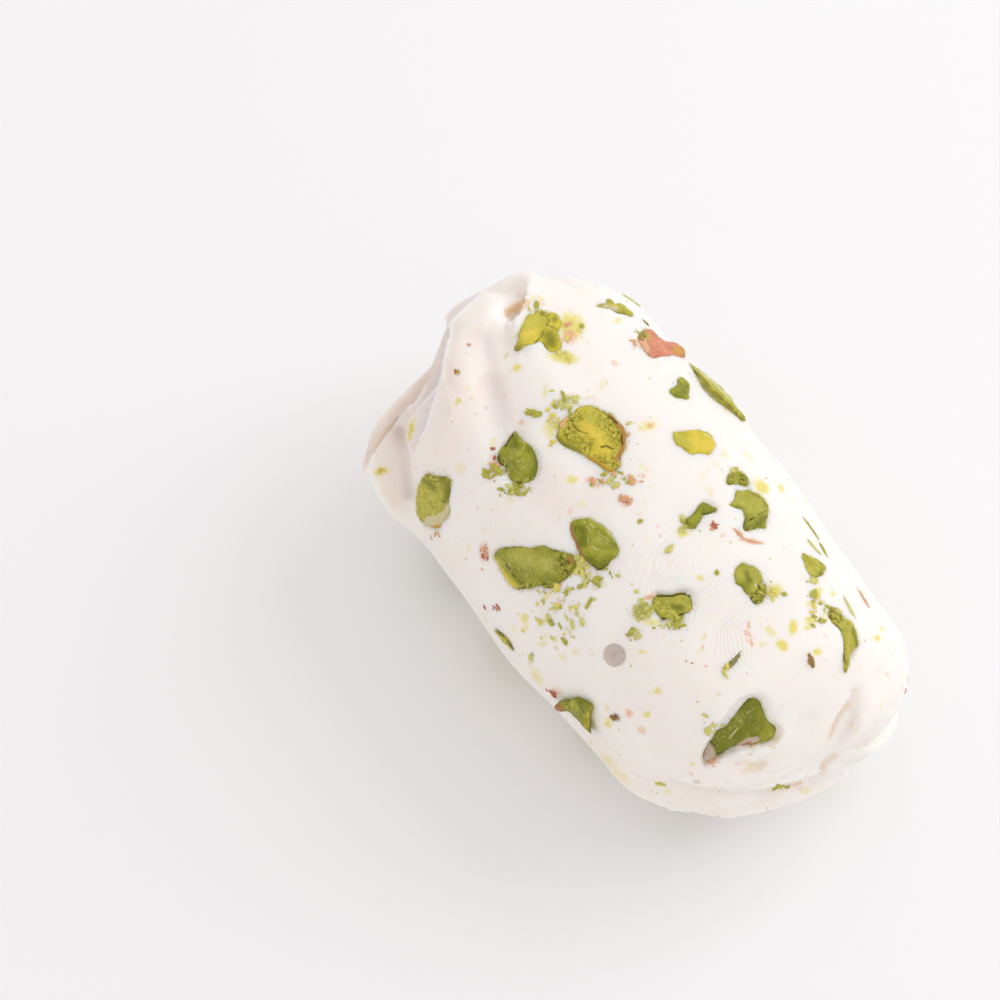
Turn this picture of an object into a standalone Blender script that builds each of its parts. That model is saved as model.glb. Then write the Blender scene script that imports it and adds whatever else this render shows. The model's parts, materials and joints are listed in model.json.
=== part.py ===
"""Pistachio halva: one log of white whipped nougat with cut pistachios set in it, its ends folded shut.

The log lies along X and rests on the flat that its own weight has pressed along its underside, at z = 0.
Its skin is one closed surface made of rings round the X axis. The rings at each end run in over a dome to
a knot, and they carry the folds: each fold is a lap whose high edge lies over the low edge of the next.
The pistachios are separate pieces that sit in sockets cut in the nougat.
"""

import math
import random
from collections import namedtuple

import bmesh
import bpy
from mathutils import Vector
from mathutils.bvhtree import BVHTree

MM = 0.001

# The log, in millimetres
LENGTH = 50.5
WIDTH = 28.6
HEIGHT = 27.0
SQUARENESS = 2.4
PRESSED_FLAT = 0.35
AXIS_HEIGHT = HEIGHT / 2 - PRESSED_FLAT

# A lap lies this far over the next one where they differ by more than the least, and comes up over a length;
# a fold's drop is whole once an end has narrowed by this share; folds turn at the shoulder over a length,
# from this far before it; the knot is this deep and wide
TUCK = 0.7
LEAST_LAP = 0.2
LAP_RAMP = 4.5
DROP_SHARE = 0.3
TURN_START = 2.5
TURN_RAMP = 5.0
KNOT_DEPTH = 1.4
KNOT_SHARE = 0.2

COLUMNS = 72
SIDE_RINGS = 20
DOME_RINGS = 12

Fold = namedtuple("Fold", "start low high puff pulled reach drop twist")
# start: its first angle round the end in degrees, where 0 is +Y and 90 is +Z
# low, high: its height at that edge and at its last one, in mm
# puff: how much higher its middle is; pulled: how far it is drawn straight across the curve, 0 to 1
# reach: how far its first edge runs along the side, in mm, less than 0 if it stays on the dome
# drop: how much lower it lies on the dome than at the shoulder, in mm
# twist: how far its first edge turns round the end at the shoulder, in degrees

End = namedtuple("End", "side dome roundness taper skew knot folds")
# side: -1 is the left end, +1 the right one; dome: how far it stands out past the straight side, in mm
# roundness: 2 is an ellipse, more is squarer; taper: how much smaller than the middle it is, as a share
# skew: how far it slants, as x per y; knot: where its middle is, as y and z from the axis
LEFT_END = End(
    side=-1,
    dome=9.0,
    roundness=2.1,
    taper=0.03,
    skew=0.0,
    knot=(2.0, -1.0),
    folds=[
        Fold(60, -0.2, 1.9, 0.3, 0.3, 1.0, 0.0, -10),
        Fold(113, -0.8, 1.7, 1.4, 0.2, 2.5, -0.4, -45),
        Fold(138, -1.2, -0.5, -0.1, 0.4, 3.0, 1.0, -31),
        Fold(186, 2.1, 0.9, 0.2, 0.4, 4.0, 3.2, -28),
        Fold(217, -0.4, 0.6, 0.3, 0.5, 1.0, 1.0, -20),
        Fold(250, -0.3, 0.5, 0.3, 0.5, 0.0, 0.3, -16),
        Fold(290, -0.3, 0.7, 0.2, 0.4, 1.0, 0.0, -14),
        Fold(335, -0.4, 0.7, 0.3, 0.5, 2.0, 0.0, -12),
        Fold(382, -0.3, 0.5, 0.2, 0.4, 1.0, 0.0, -10),
    ],
)
RIGHT_END = End(
    side=1,
    dome=8.5,
    roundness=2.1,
    taper=0.08,
    skew=0.18,
    knot=(2.0, 1.5),
    folds=[
        Fold(20, -0.3, 0.5, 0.2, 0.3, 0.0, 0.0, 0),
        Fold(62, -0.4, 0.4, 0.3, 0.2, -3.0, 0.0, 0),
        Fold(136, -0.4, 0.5, 0.3, 0.3, -2.5, 0.0, 0),
        Fold(162, -0.8, 0.8, 0.2, 0.4, 1.0, 0.0, 0),
        Fold(196, -0.5, 0.4, 0.2, 0.5, 2.0, 0.0, 0),
        Fold(240, -0.3, 0.4, 0.2, 0.5, 1.0, 0.0, 0),
        Fold(290, -0.3, 0.6, 0.3, 0.5, 2.0, 0.0, 0),
        Fold(335, -0.4, 0.3, 0.2, 0.4, 1.0, 0.0, 0),
    ],
)


def mix(a, b, share):
    return a + (b - a) * share


def smooth(share):
    share = min(1.0, max(0.0, share))
    return share * share * (3 - 2 * share)


def section_reach(angle):
    """How far the plain skin is from the log's axis in a direction round it, at mid length."""
    across = abs(math.cos(angle)) / (WIDTH / 2)
    up = abs(math.sin(angle)) / (HEIGHT / 2)
    return (across**SQUARENESS + up**SQUARENESS) ** (-1 / SQUARENESS)


Column = namedtuple("Column", "angle height cut tuck reach drop twist")
# angle: where the column lies round the log; height: how far the fold lifts it, in mm
# cut: the share of the section that the fold's chord takes off; tuck: how far it goes under or over, in mm
# reach: how far along the side the fold comes, in mm; drop: how much lower it lies on the dome, in mm
# twist: how far it turns round the end at the shoulder, in radians


def fold_columns(folds):
    """The columns of the skin at one end, shared out among its folds by their widths."""
    columns = []
    turned = 0.0
    for number, fold in enumerate(folds):
        after = folds[(number + 1) % len(folds)]
        before = folds[number - 1]
        width = (after.start - fold.start) % 360
        turned += width
        count = round(COLUMNS * turned / 360) - len(columns)
        for step in range(count):
            share = mix(0.01, 0.99, 0.5 - 0.5 * math.cos(math.pi * step / (count - 1)))
            off_middle = math.radians(width * (share - 0.5))
            tuck = 0.0
            if step == 0 and abs(before.high - fold.low) > LEAST_LAP:
                tuck = -TUCK
            if step == count - 1 and abs(after.low - fold.high) > LEAST_LAP:
                tuck = TUCK
            columns.append(
                Column(
                    math.radians(fold.start + width * share),
                    mix(fold.low, fold.high, share) + fold.puff * math.sin(math.pi * share),
                    fold.pulled * (1 - math.cos(math.radians(width / 2)) / math.cos(off_middle)),
                    tuck,
                    mix(fold.reach, after.reach, share),
                    fold.drop,
                    math.radians(mix(fold.twist, after.twist, share)),
                )
            )
    return columns


def lined_up(columns, angle):
    """The same columns, starting with the one nearest to an angle, each further round than the last."""
    turn = [(column.angle - angle + math.pi) % math.tau - math.pi for column in columns]
    first = min(range(COLUMNS), key=lambda number: abs(turn[number]))
    ordered = columns[first:] + columns[:first]
    start = angle + turn[first]
    return [c._replace(angle=start + (c.angle - ordered[0].angle) % math.tau) for c in ordered]


Ring = namedtuple("Ring", "place share slope_x slope_r")
# place: where it is on X; share: its size, as a share of the full section
# slope_x, slope_r: which way the skin faces there, along X and away from the axis


def dome_rings(end):
    """The rings of one end, from its knot out to the straight side."""
    rings = []
    power = 2 / end.roundness
    for step in range(1, DOME_RINGS + 1):
        turn = math.radians(90 * (step / DOME_RINGS) ** 0.8)
        share = math.sin(turn) ** power
        out = LENGTH / 2 - end.dome * (1 - math.cos(turn) ** power)
        dip = KNOT_DEPTH * math.exp(-((share / KNOT_SHARE) ** 2))
        slope_x = math.cos(turn) ** (2 - power)
        slope_r = math.sin(turn) ** (2 - power) * end.dome / (WIDTH / 2)
        size = math.hypot(slope_x, slope_r)
        rings.append(Ring(end.side * (out - dip), share, end.side * slope_x / size, slope_r / size))
    return rings


def skin_rings():
    """All rings, from the left knot to the right one."""
    left = LEFT_END.dome - LENGTH / 2
    right = LENGTH / 2 - RIGHT_END.dome
    steps = [0.5 - 0.5 * math.cos(math.pi * step / SIDE_RINGS) for step in range(1, SIDE_RINGS)]
    side = [Ring(mix(left, right, step), 1.0, 0.0, 1.0) for step in steps]
    return dome_rings(LEFT_END) + side + dome_rings(RIGHT_END)[::-1]


def past_shoulder(ring, end):
    """How far a ring is past the shoulder where an end's dome begins, in mm along the skin."""
    if ring.share < 1 and end.side * ring.place > 0:
        return (1 - ring.share) * WIDTH / 2
    return end.side * ring.place - (LENGTH / 2 - end.dome)


def skin_point(ring, left, right):
    """A point of the skin, in millimetres, from the ring and its column at either end."""
    along = smooth(ring.place / (LENGTH - LEFT_END.dome - RIGHT_END.dome) + 0.5)
    angle = mix(left.angle, right.angle, along)
    taper = mix(LEFT_END.taper, RIGHT_END.taper, along) * (2 * along - 1) ** 2
    skew = mix(LEFT_END.skew, RIGHT_END.skew, along)
    height = cut = y = z = 0.0
    for end, column in ((LEFT_END, left), (RIGHT_END, right)):
        past = past_shoulder(ring, end)
        show = smooth((past + column.reach) / LAP_RAMP) * smooth(ring.share / 0.3)
        inward = smooth((1 - ring.share) / DROP_SHARE) if past > 0 else 0.0
        height += (column.height - column.drop * inward) * show
        cut += column.cut * show
        angle += show * show * column.tuck / (WIDTH / 2 * max(0.3, ring.share))
        angle += column.twist * smooth((past + TURN_START) / TURN_RAMP)
        if past > 0:
            y += end.knot[0] * (1 - ring.share)
            z += end.knot[1] * (1 - ring.share)
    reach = section_reach(angle) * ring.share * (1 - taper) * (1 - cut) + ring.slope_r * height
    y += reach * math.cos(angle)
    z += reach * math.sin(angle) + AXIS_HEIGHT
    return Vector((ring.place + ring.slope_x * height + skew * y, y, max(z, 0.0)))


def nougat_skin():
    """The closed skin of the log."""
    left_columns = fold_columns(LEFT_END.folds)
    right_columns = lined_up(fold_columns(RIGHT_END.folds), left_columns[0].angle)
    shape = bmesh.new()
    loops = []
    for ring in skin_rings():
        points = [skin_point(ring, left, right) for left, right in zip(left_columns, right_columns)]
        loops.append([shape.verts.new(point * MM) for point in points])
    for one, other in zip(loops, loops[1:]):
        for number in range(COLUMNS):
            after = (number + 1) % COLUMNS
            shape.faces.new((one[number], one[after], other[after], other[number]))
    for loop in (loops[0], loops[-1]):
        knot = shape.verts.new(sum((v.co for v in loop), Vector()) / COLUMNS)
        for number in range(COLUMNS):
            shape.faces.new((loop[number], loop[(number + 1) % COLUMNS], knot))
    bmesh.ops.triangulate(shape, faces=shape.faces, quad_method="SHORT_EDGE")
    bmesh.ops.recalc_face_normals(shape, faces=shape.faces)
    return shape


Nut = namedtuple("Nut", "name x angle turn reach rise kind")
# x, angle: where its middle is, in mm along the log and in degrees round it
# turn: the direction of its first corner, in degrees from +X, anticlockwise as seen from outside
# reach: how far its corners are from its middle, in mm, at equal steps round
# rise: how high its top is over the skin, in mm
# kind: which of the nut's surfaces the cut shows

GREEN = ("pistachio_green", (0.20, 0.21, 0.03))
PALE_GREEN = ("pistachio_pale_green", (0.40, 0.40, 0.09))
YELLOW = ("pistachio_yellow", (0.66, 0.52, 0.09))
SKIN = ("pistachio_skin", (0.60, 0.27, 0.17))

SHOWN_NUTS = [
    Nut("crown", -17.0, 82, 0, (1.8, 1.8, 2.0, 2.6, 2.3, 2.0, 2.2, 1.2), 0.0, YELLOW),
    Nut("skinned", -11.7, 45, 90, (2.6, 1.7, 1.5, 1.8, 1.9, 2.0, 1.5, 2.0), 0.1, SKIN),
    Nut("crescent", -16.1, 50, 65, (1.9, 0.9, 0.6, 0.9, 1.9, 0.6, 0.6, 1.1), 0.0, PALE_GREEN),
    Nut("edge_blade", -5.8, 26, 0, (4.3, 2.6, 2.4, 2.5, 2.8, 4.4, 2.6, 2.2, 2.2, 2.6), 0.4, PALE_GREEN),
    Nut("fleck_dark", -6.4, 51, 120, (1.7, 0.9, 0.7, 1.3, 1.6, 1.0, 1.1), -0.1, GREEN),
    Nut("crumbly", -6.4, 92, 0, (3.7, 3.2, 2.9, 2.9, 3.1, 3.4, 3.3, 2.3, 2.0, 2.6), 0.0, YELLOW),
    Nut("kite", -8.5, 118, -32, (2.6, 2.4, 2.0, 1.9, 2.9, 1.9, 1.8, 1.7), -0.5, GREEN),
    Nut("crumb_edge", -12.3, 160, 75, (3.4, 2.6, 2.1, 2.2, 3.7, 3.1, 2.3, 2.5), -0.2, PALE_GREEN),
    Nut("chip_yellow", -1.1, 63, 58, (2.1, 1.8, 1.3, 1.4, 1.9, 1.3, 1.0, 1.8), -0.1, YELLOW),
    Nut("bridge_small", 3.6, 59, 50, (1.3, 0.9, 0.9, 0.9, 1.3, 0.8, 0.6), -0.1, GREEN),
    Nut("bridge_large", 6.6, 62, 0, (2.3, 2.1, 2.0, 2.0, 2.0, 1.8, 1.6, 1.1, 1.1, 2.1), -0.2, GREEN),
    Nut("bridge_long", 4.9, 80, 95, (1.9, 1.0, 0.6, 0.8, 1.6, 0.8, 0.5, 0.9), -0.1, GREEN),
    Nut("round", 1.8, 115, 166, (2.8, 2.0, 1.5, 1.4, 2.0, 2.3, 2.0, 2.0, 1.7, 2.0), -0.2, GREEN),
    Nut("slab", -1.2, 138, 46, (3.8, 2.7, 2.0, 1.9, 3.0, 4.2, 2.8, 2.0, 1.9, 2.7), -0.3, GREEN),
    Nut("blob", 12.1, 79, 172, (2.1, 1.7, 1.4, 1.2, 1.7, 2.0, 1.4, 1.1, 1.3, 1.7), -0.1, GREEN),
    Nut("square", 10.2, 107, -136, (2.1, 1.4, 1.2, 1.4, 1.5, 1.5, 1.8, 1.5, 1.5, 2.0), -0.2, GREEN),
    Nut("arrow", 13.4, 54, 0, (1.1, 1.3, 1.2, 1.2, 1.4, 1.0, 1.4), 0.0, PALE_GREEN),
    Nut("leaf", 19.6, 60, -20, (3.1, 1.5, 1.1, 1.0, 1.4, 2.4, 2.2, 0.8, 0.8, 1.2), -0.2, PALE_GREEN),
    Nut("wedge", 21.0, 119, 105, (3.1, 2.1, 1.4, 1.6, 2.6, 3.6, 1.3, 1.2, 2.7, 2.6), -0.7, GREEN),
    Nut("left_edge", 9.2, 175, 66, (3.6, 2.2, 1.5, 1.5, 2.2, 3.2, 1.6, 1.9, 2.2, 2.3), -0.3, GREEN),
    Nut("left_sliver", 0.1, 181, 0, (1.9, 1.5, 1.0, 1.0, 1.8, 1.5, 1.3, 1.5), -0.1, PALE_GREEN),
]

# The nuts on the rest of the skin are placed by rule, where they have the most room
SEED = 27
MORE_NUTS = 15
TRIES = 60
MORE_NUTS_MOST_X = 22.5
MORE_NUTS_FIRST_ANGLE = 200
MORE_NUTS_LAST_ANGLE = 372
MORE_KINDS = [GREEN, PALE_GREEN, GREEN, YELLOW]

SOCKET_GAP = 0.3
SOCKET_OVER = 2.5
BEVEL = 0.35

# Crumbs of nut fused to the skin: place along the log, angle round it, turn, half length and half width
SHOWN_CRUMBS = [
    (16.6, 104, 100, 1.1, 0.35), (20.1, 78, 10, 0.75, 0.35), (-11.0, 104, 20, 0.8, 0.45),
    (8.6, 119, 90, 1.1, 0.8), (12.4, 45, 60, 0.6, 0.35), (10.0, 41, 0, 1.0, 0.3),
    (17.4, 39, 0, 0.8, 0.3), (-19.2, 136, 30, 0.5, 0.35),
]
MORE_CRUMBS = 24

# Bubbles that burst at the skin: place along the log, angle round it and radius
BUBBLES = [
    (9.8, 135, 1.05), (13.2, 153, 0.6), (-19.3, 112, 0.35),
    (22.4, 152, 0.5), (-24.0, 200, 0.6), (24.0, 300, 0.7),
]


class Frame:
    """A place on the skin: its point, which way it faces, and the two directions along it."""

    def __init__(self, skin, x, angle, turn=0.0):
        self.skin = skin
        angle = math.radians(angle)
        self.point, _ = self.straight_in(x, angle)
        around = [(x - 1.5, angle), (x + 1.5, angle), (x, angle - 0.1), (x, angle + 0.1)]
        normals = [self.straight_in(*place)[1] for place in around]
        self.out = sum((normal for normal in normals if normal), Vector()).normalized()
        along = (Vector((1.0, 0.0, 0.0)) - self.out * self.out.x).normalized()
        across = self.out.cross(along)
        turn = math.radians(turn)
        self.first = along * math.cos(turn) + across * math.sin(turn)
        self.second = self.out.cross(self.first)

    def straight_in(self, x, angle):
        """Where a line from outside towards the axis meets the skin, and the skin's normal there."""
        way = Vector((0.0, math.cos(angle), math.sin(angle)))
        start = (Vector((x, 0.0, AXIS_HEIGHT)) + way * WIDTH) * MM
        point, normal, _, _ = self.skin.ray_cast(start, -way)
        return point, normal

    def at(self, radius, angle, height):
        """The point over the skin at a distance and direction from this place, in mm and radians."""
        sideways = (self.first * math.cos(angle) + self.second * math.sin(angle)) * radius * MM
        start = self.point + sideways + self.out * SOCKET_OVER * 2 * MM
        point, _, _, _ = self.skin.ray_cast(start, -self.out, 4 * SOCKET_OVER * MM)
        if point is None:
            point = self.point + sideways
        return point + self.out * height * MM


def nut_depth(nut):
    """How deep a nut goes into the nougat, in mm."""
    return min(3.2, 0.9 + 0.8 * sum(nut.reach) / len(nut.reach))


def closed_form(rings, top, bottom):
    """A closed mesh over rings of points, the highest ring first, with a point at either end."""
    shape = bmesh.new()
    loops = [[shape.verts.new(point) for point in ring] for ring in rings]
    sides = len(loops[0])
    for upper, lower in zip(loops, loops[1:]):
        for number in range(sides):
            after = (number + 1) % sides
            shape.faces.new((upper[number], lower[number], lower[after], upper[after]))
    for loop, end in ((loops[0], shape.verts.new(top)), (loops[-1], shape.verts.new(bottom))):
        for number in range(sides):
            shape.faces.new((loop[number], loop[(number + 1) % sides], end))
    bmesh.ops.recalc_face_normals(shape, faces=shape.faces)
    return shape


def nut_shape(nut, frame, draw):
    """A cut nut: an uneven top that follows the skin, a worn rim and a body that narrows downwards."""
    depth = nut_depth(nut)
    corners = [(reach, math.tau * number / len(nut.reach)) for number, reach in enumerate(nut.reach)]

    def ring(share, height, unevenness):
        return [
            frame.at(reach * share, angle, nut.rise + height + draw.uniform(-unevenness, unevenness))
            for reach, angle in corners
        ]

    rings = [ring(0.5, 0.05, 0.12), ring(0.92, 0.0, 0.08), ring(1.0, -BEVEL, 0.0), ring(0.7, -depth, 0.0)]
    top = frame.at(0.0, 0.0, nut.rise + 0.1)
    return closed_form(rings, top, frame.at(0.0, 0.0, nut.rise - depth))


def socket_shape(nut, frame):
    """The hollow for a nut, a gap wider than it all round and open above."""
    depth = nut_depth(nut)

    def ring(share, height):
        return [
            frame.at(reach * share + SOCKET_GAP, math.tau * number / len(nut.reach), height)
            for number, reach in enumerate(nut.reach)
        ]

    rings = [ring(1.0, SOCKET_OVER), ring(1.0, nut.rise - BEVEL), ring(0.7, nut.rise - depth - SOCKET_GAP)]
    bottom = frame.at(0.0, 0.0, nut.rise - depth - SOCKET_GAP)
    return closed_form(rings, frame.at(0.0, 0.0, SOCKET_OVER), bottom)


def more_nuts(skin, taken, draw):
    """Nuts for the skin that the shown ones leave bare, each where a few tries find the most room.

    The middle of the underside stays bare, because the log rests on it.
    """
    places = [Frame(skin, nut.x, nut.angle).point for nut in taken]
    places.append(Vector((0.0, 0.0, 0.0)))
    nuts = []
    for number in range(MORE_NUTS):
        tries = []
        for _ in range(TRIES):
            x = draw.uniform(-MORE_NUTS_MOST_X, MORE_NUTS_MOST_X)
            angle = draw.uniform(MORE_NUTS_FIRST_ANGLE, MORE_NUTS_LAST_ANGLE)
            point = Frame(skin, x, angle).point
            tries.append((min((point - place).length for place in places), x, angle, point))
        _, x, angle, point = max(tries, key=lambda one: one[0])
        places.append(point)
        length = draw.uniform(1.4, 3.2)
        width = length * draw.uniform(0.5, 0.85)
        reach = []
        for corner in range(8):
            way = math.tau * corner / 8
            oval = length * width / math.hypot(width * math.cos(way), length * math.sin(way))
            reach.append(oval * draw.uniform(0.88, 1.12))
        kind = MORE_KINDS[number % len(MORE_KINDS)]
        nuts.append(Nut(f"more_{number + 1:02d}", x, angle, draw.uniform(0, 180), reach, -0.3, kind))
    return nuts


def clear_of_nuts(point, nuts, frames, room):
    return all(
        (point - frame.point).length > (max(nut.reach) + room) * MM for nut, frame in zip(nuts, frames)
    )


def crumb_places(skin, nuts, frames, draw):
    """Where the crumbs lie: those that show, then more round the nuts, clear of every socket."""
    crumbs = list(SHOWN_CRUMBS)
    while len(crumbs) < len(SHOWN_CRUMBS) + MORE_CRUMBS:
        nut = draw.choice(nuts)
        x = nut.x + draw.uniform(-5, 5)
        angle = nut.angle + draw.uniform(-22, 22)
        length = draw.uniform(0.4, 0.8)
        if abs(x) > MORE_NUTS_MOST_X:
            continue
        frame = Frame(skin, x, angle)
        on_flat = frame.point.z < 1.5 * MM
        if not on_flat and clear_of_nuts(frame.point, nuts, frames, length + 0.8):
            crumbs.append((x, angle, draw.uniform(0, 180), length, length * draw.uniform(0.5, 0.9)))
    return crumbs


def lump_shape(frame, length, width, height, divisions):
    """A rounded lump or cutter centred on the skin, with half sizes in mm."""
    shape = bmesh.new()
    bmesh.ops.create_icosphere(shape, subdivisions=divisions, radius=MM)
    for vert in shape.verts:
        x, y, z = vert.co
        vert.co = frame.point + frame.first * x * length + frame.second * y * width + frame.out * z * height
    return shape


def add_object(name, shape, colour=None, roughness=0.5, collection=None):
    mesh = bpy.data.meshes.new(name)
    shape.to_mesh(mesh)
    shape.free()
    if colour:
        material = bpy.data.materials.get(colour[0]) or bpy.data.materials.new(colour[0])
        material.use_nodes = True
        surface = material.node_tree.nodes["Principled BSDF"]
        surface.inputs["Base Color"].default_value = (*colour[1], 1.0)
        surface.inputs["Roughness"].default_value = roughness
        surface.inputs["Metallic"].default_value = 0.0
        mesh.materials.append(material)
    thing = bpy.data.objects.new(name, mesh)
    (collection or bpy.context.scene.collection).objects.link(thing)
    return thing


def combine(thing, operation, tools):
    """Cuts a collection of tools from an object, or joins them to it, and removes the tools."""
    boolean = thing.modifiers.new(operation.lower(), "BOOLEAN")
    boolean.operation = operation
    boolean.solver = "EXACT"
    boolean.operand_type = "COLLECTION"
    boolean.collection = tools
    bpy.context.view_layer.update()
    graph = bpy.context.evaluated_depsgraph_get()
    mesh = bpy.data.meshes.new_from_object(thing.evaluated_get(graph))
    thing.modifiers.remove(boolean)
    thing.data = mesh
    for tool in list(tools.objects):
        bpy.data.objects.remove(tool)
    bpy.data.collections.remove(tools)


def drop_scraps(mesh):
    """Keeps only the largest body of a mesh, without the scraps that a socket cuts loose."""
    shape = bmesh.new()
    shape.from_mesh(mesh)
    left = set(shape.verts)
    bodies = []
    while left:
        body = {left.pop()}
        edge = list(body)
        while edge:
            vert = edge.pop()
            near = {link.other_vert(vert) for link in vert.link_edges} & left
            left -= near
            body |= near
            edge.extend(near)
        bodies.append(body)
    largest = max(bodies, key=len)
    bmesh.ops.delete(shape, geom=[vert for vert in shape.verts if vert not in largest], context="VERTS")
    shape.to_mesh(mesh)
    shape.free()


def new_collection(name):
    collection = bpy.data.collections.new(name)
    bpy.context.scene.collection.children.link(collection)
    return collection


for old in list(bpy.data.objects):
    bpy.data.objects.remove(old)

NOUGAT_WHITE = ("nougat", (0.90, 0.87, 0.82))
nougat = add_object("nougat", nougat_skin(), NOUGAT_WHITE)
bpy.context.view_layer.update()
skin = BVHTree.FromObject(nougat, bpy.context.evaluated_depsgraph_get())

draw = random.Random(SEED)
nuts = SHOWN_NUTS + more_nuts(skin, SHOWN_NUTS, draw)
frames = [Frame(skin, nut.x, nut.angle, nut.turn) for nut in nuts]

crumbs = new_collection("crumbs")
for x, angle, turn, length, width in crumb_places(skin, nuts, frames, draw):
    crumb = lump_shape(Frame(skin, x, angle, turn), length, width, width * 0.6, 1)
    add_object("crumb", crumb, NOUGAT_WHITE, collection=crumbs)
combine(nougat, "UNION", crumbs)

hollows = new_collection("hollows")
for nut, frame in zip(nuts, frames):
    add_object("socket", socket_shape(nut, frame), NOUGAT_WHITE, collection=hollows)
for x, angle, radius in BUBBLES:
    bubble = lump_shape(Frame(skin, x, angle), radius, radius, radius, 2)
    add_object("bubble", bubble, NOUGAT_WHITE, collection=hollows)
combine(nougat, "DIFFERENCE", hollows)
drop_scraps(nougat.data)

for nut, frame in zip(nuts, frames):
    add_object(f"pistachio_{nut.name}", nut_shape(nut, frame, draw), nut.kind, roughness=0.55)
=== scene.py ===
"""Pistachio halva: one log of white whipped nougat with cut pistachios in it, on a pale table.

The sections follow the sweet as it is made: the nougat body with its folded ends, the cut nuts that sit in
it, the crumbs of nut that the knife and the kneading left on the skin, and then the table and the light.
"""

import json
import math
import random

import bmesh
import bpy
import numpy as np
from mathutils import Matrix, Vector, noise
from mathutils.bvhtree import BVHTree


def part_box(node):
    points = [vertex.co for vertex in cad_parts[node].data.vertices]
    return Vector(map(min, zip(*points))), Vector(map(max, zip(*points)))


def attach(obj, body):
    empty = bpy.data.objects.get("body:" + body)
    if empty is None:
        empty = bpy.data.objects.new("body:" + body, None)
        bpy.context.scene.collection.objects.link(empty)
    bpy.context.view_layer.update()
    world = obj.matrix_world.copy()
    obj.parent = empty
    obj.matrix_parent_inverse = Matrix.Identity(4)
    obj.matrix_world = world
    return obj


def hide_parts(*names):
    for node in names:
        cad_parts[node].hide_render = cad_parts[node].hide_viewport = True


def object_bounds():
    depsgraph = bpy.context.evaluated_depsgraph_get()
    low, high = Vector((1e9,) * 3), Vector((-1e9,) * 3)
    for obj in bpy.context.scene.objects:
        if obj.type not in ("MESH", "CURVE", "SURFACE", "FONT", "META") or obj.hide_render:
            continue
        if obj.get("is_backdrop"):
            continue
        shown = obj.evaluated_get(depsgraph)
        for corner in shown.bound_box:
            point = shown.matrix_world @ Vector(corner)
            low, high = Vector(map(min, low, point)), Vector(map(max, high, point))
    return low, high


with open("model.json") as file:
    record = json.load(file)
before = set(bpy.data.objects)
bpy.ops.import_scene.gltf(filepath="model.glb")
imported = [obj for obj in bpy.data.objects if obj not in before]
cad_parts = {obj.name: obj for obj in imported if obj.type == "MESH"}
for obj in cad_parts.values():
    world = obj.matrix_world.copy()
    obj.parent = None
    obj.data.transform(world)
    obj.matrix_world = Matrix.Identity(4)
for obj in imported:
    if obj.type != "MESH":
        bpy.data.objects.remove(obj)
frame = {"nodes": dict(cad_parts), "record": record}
cad_low, cad_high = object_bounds()
MM = 0.001


# --- Viewpoint ---
# The camera looks down on the log from its right end and the near side, from about 29 cm away.
# Places on the near side are given below by where they stand in its square frame, 1000 to a side.
AZIMUTH = math.radians(54.2)
ELEVATION = math.radians(65.0)
FRAME_SIDE = 1000
FRAME_MIDDLE = FRAME_SIDE / 2
FRAME_PER_MM = 11.43
LOG_RIGHT, LOG_BELOW = 136, 52
LENS = 120.0
SENSOR = 36.0

back = Vector((
    math.sin(AZIMUTH) * math.cos(ELEVATION),
    -math.cos(AZIMUTH) * math.cos(ELEVATION),
    math.sin(ELEVATION),
))
right = Vector((math.cos(AZIMUTH), math.sin(AZIMUTH), 0.0))
up = back.cross(right)
middle = Vector((0.0, 0.0, 13.5 * MM))
target = middle - right * (LOG_RIGHT / FRAME_PER_MM * MM) + up * (LOG_BELOW / FRAME_PER_MM * MM)
eye = target + back * (FRAME_SIDE / FRAME_PER_MM * MM) * LENS / SENSOR


def put_in_scene(name, data):
    """A new object in the scene that shows a mesh, camera or light."""
    thing = bpy.data.objects.new(name, data)
    bpy.context.scene.collection.objects.link(thing)
    return thing


camera_data = bpy.data.cameras.new("camera")
camera_data.lens = LENS
camera_data.sensor_width = SENSOR
camera = put_in_scene("camera", camera_data)
camera.location = eye
camera.rotation_mode = "QUATERNION"
camera.rotation_quaternion = (-back).to_track_quat("-Z", "Y")
bpy.context.scene.camera = camera
bpy.context.scene.view_settings.view_transform = "Standard"


# --- Nougat body ---
# Whipped egg-white nougat, kneaded warm, rolled into a log and folded shut at both ends while still soft.
# The body fills the sockets of the CAD solid, then each nut presses its own seat into the skin.
SKIN_STEP = 0.31 * MM
SKIN_PASSES = 5
SIDE_PASSES = 53
FAR_SHARE = 0.16
SOCKET_FILL = 0.42 * MM
MERGE_WITHIN = 0.002 * MM


def only(thing):
    """Selects one object and nothing else, and makes it the active one."""
    bpy.ops.object.select_all(action="DESELECT")
    thing.select_set(True)
    bpy.context.view_layer.objects.active = thing


def copy_of(name, new_name):
    """A copy of a CAD node with its loose triangles merged into one skin."""
    mesh = frame["nodes"][name].data.copy()
    mesh.materials.clear()
    mesh.name = new_name
    thing = put_in_scene(new_name, mesh)
    only(thing)
    bpy.ops.object.mode_set(mode="EDIT")
    bpy.ops.mesh.select_all(action="SELECT")
    bpy.ops.mesh.remove_doubles(threshold=MERGE_WITHIN)
    bpy.ops.object.mode_set(mode="OBJECT")
    return thing


def finish_with(thing, kind, **settings):
    """Adds a modifier to an object and applies it."""
    only(thing)
    bpy.ops.object.modifier_add(type=kind)
    modifier = thing.modifiers[-1]
    for key, value in settings.items():
        setattr(modifier, key, value)
    bpy.ops.object.modifier_apply(modifier=modifier.name)


def vectors_of(items, name):
    """The place or normal of every point or face of a mesh."""
    vectors = np.empty(len(items) * 3)
    items.foreach_get(name, vectors)
    return vectors.reshape(-1, 3)


def points_of(mesh):
    """Where every point of a mesh is, in metres."""
    return vectors_of(mesh.vertices, "co")


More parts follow.
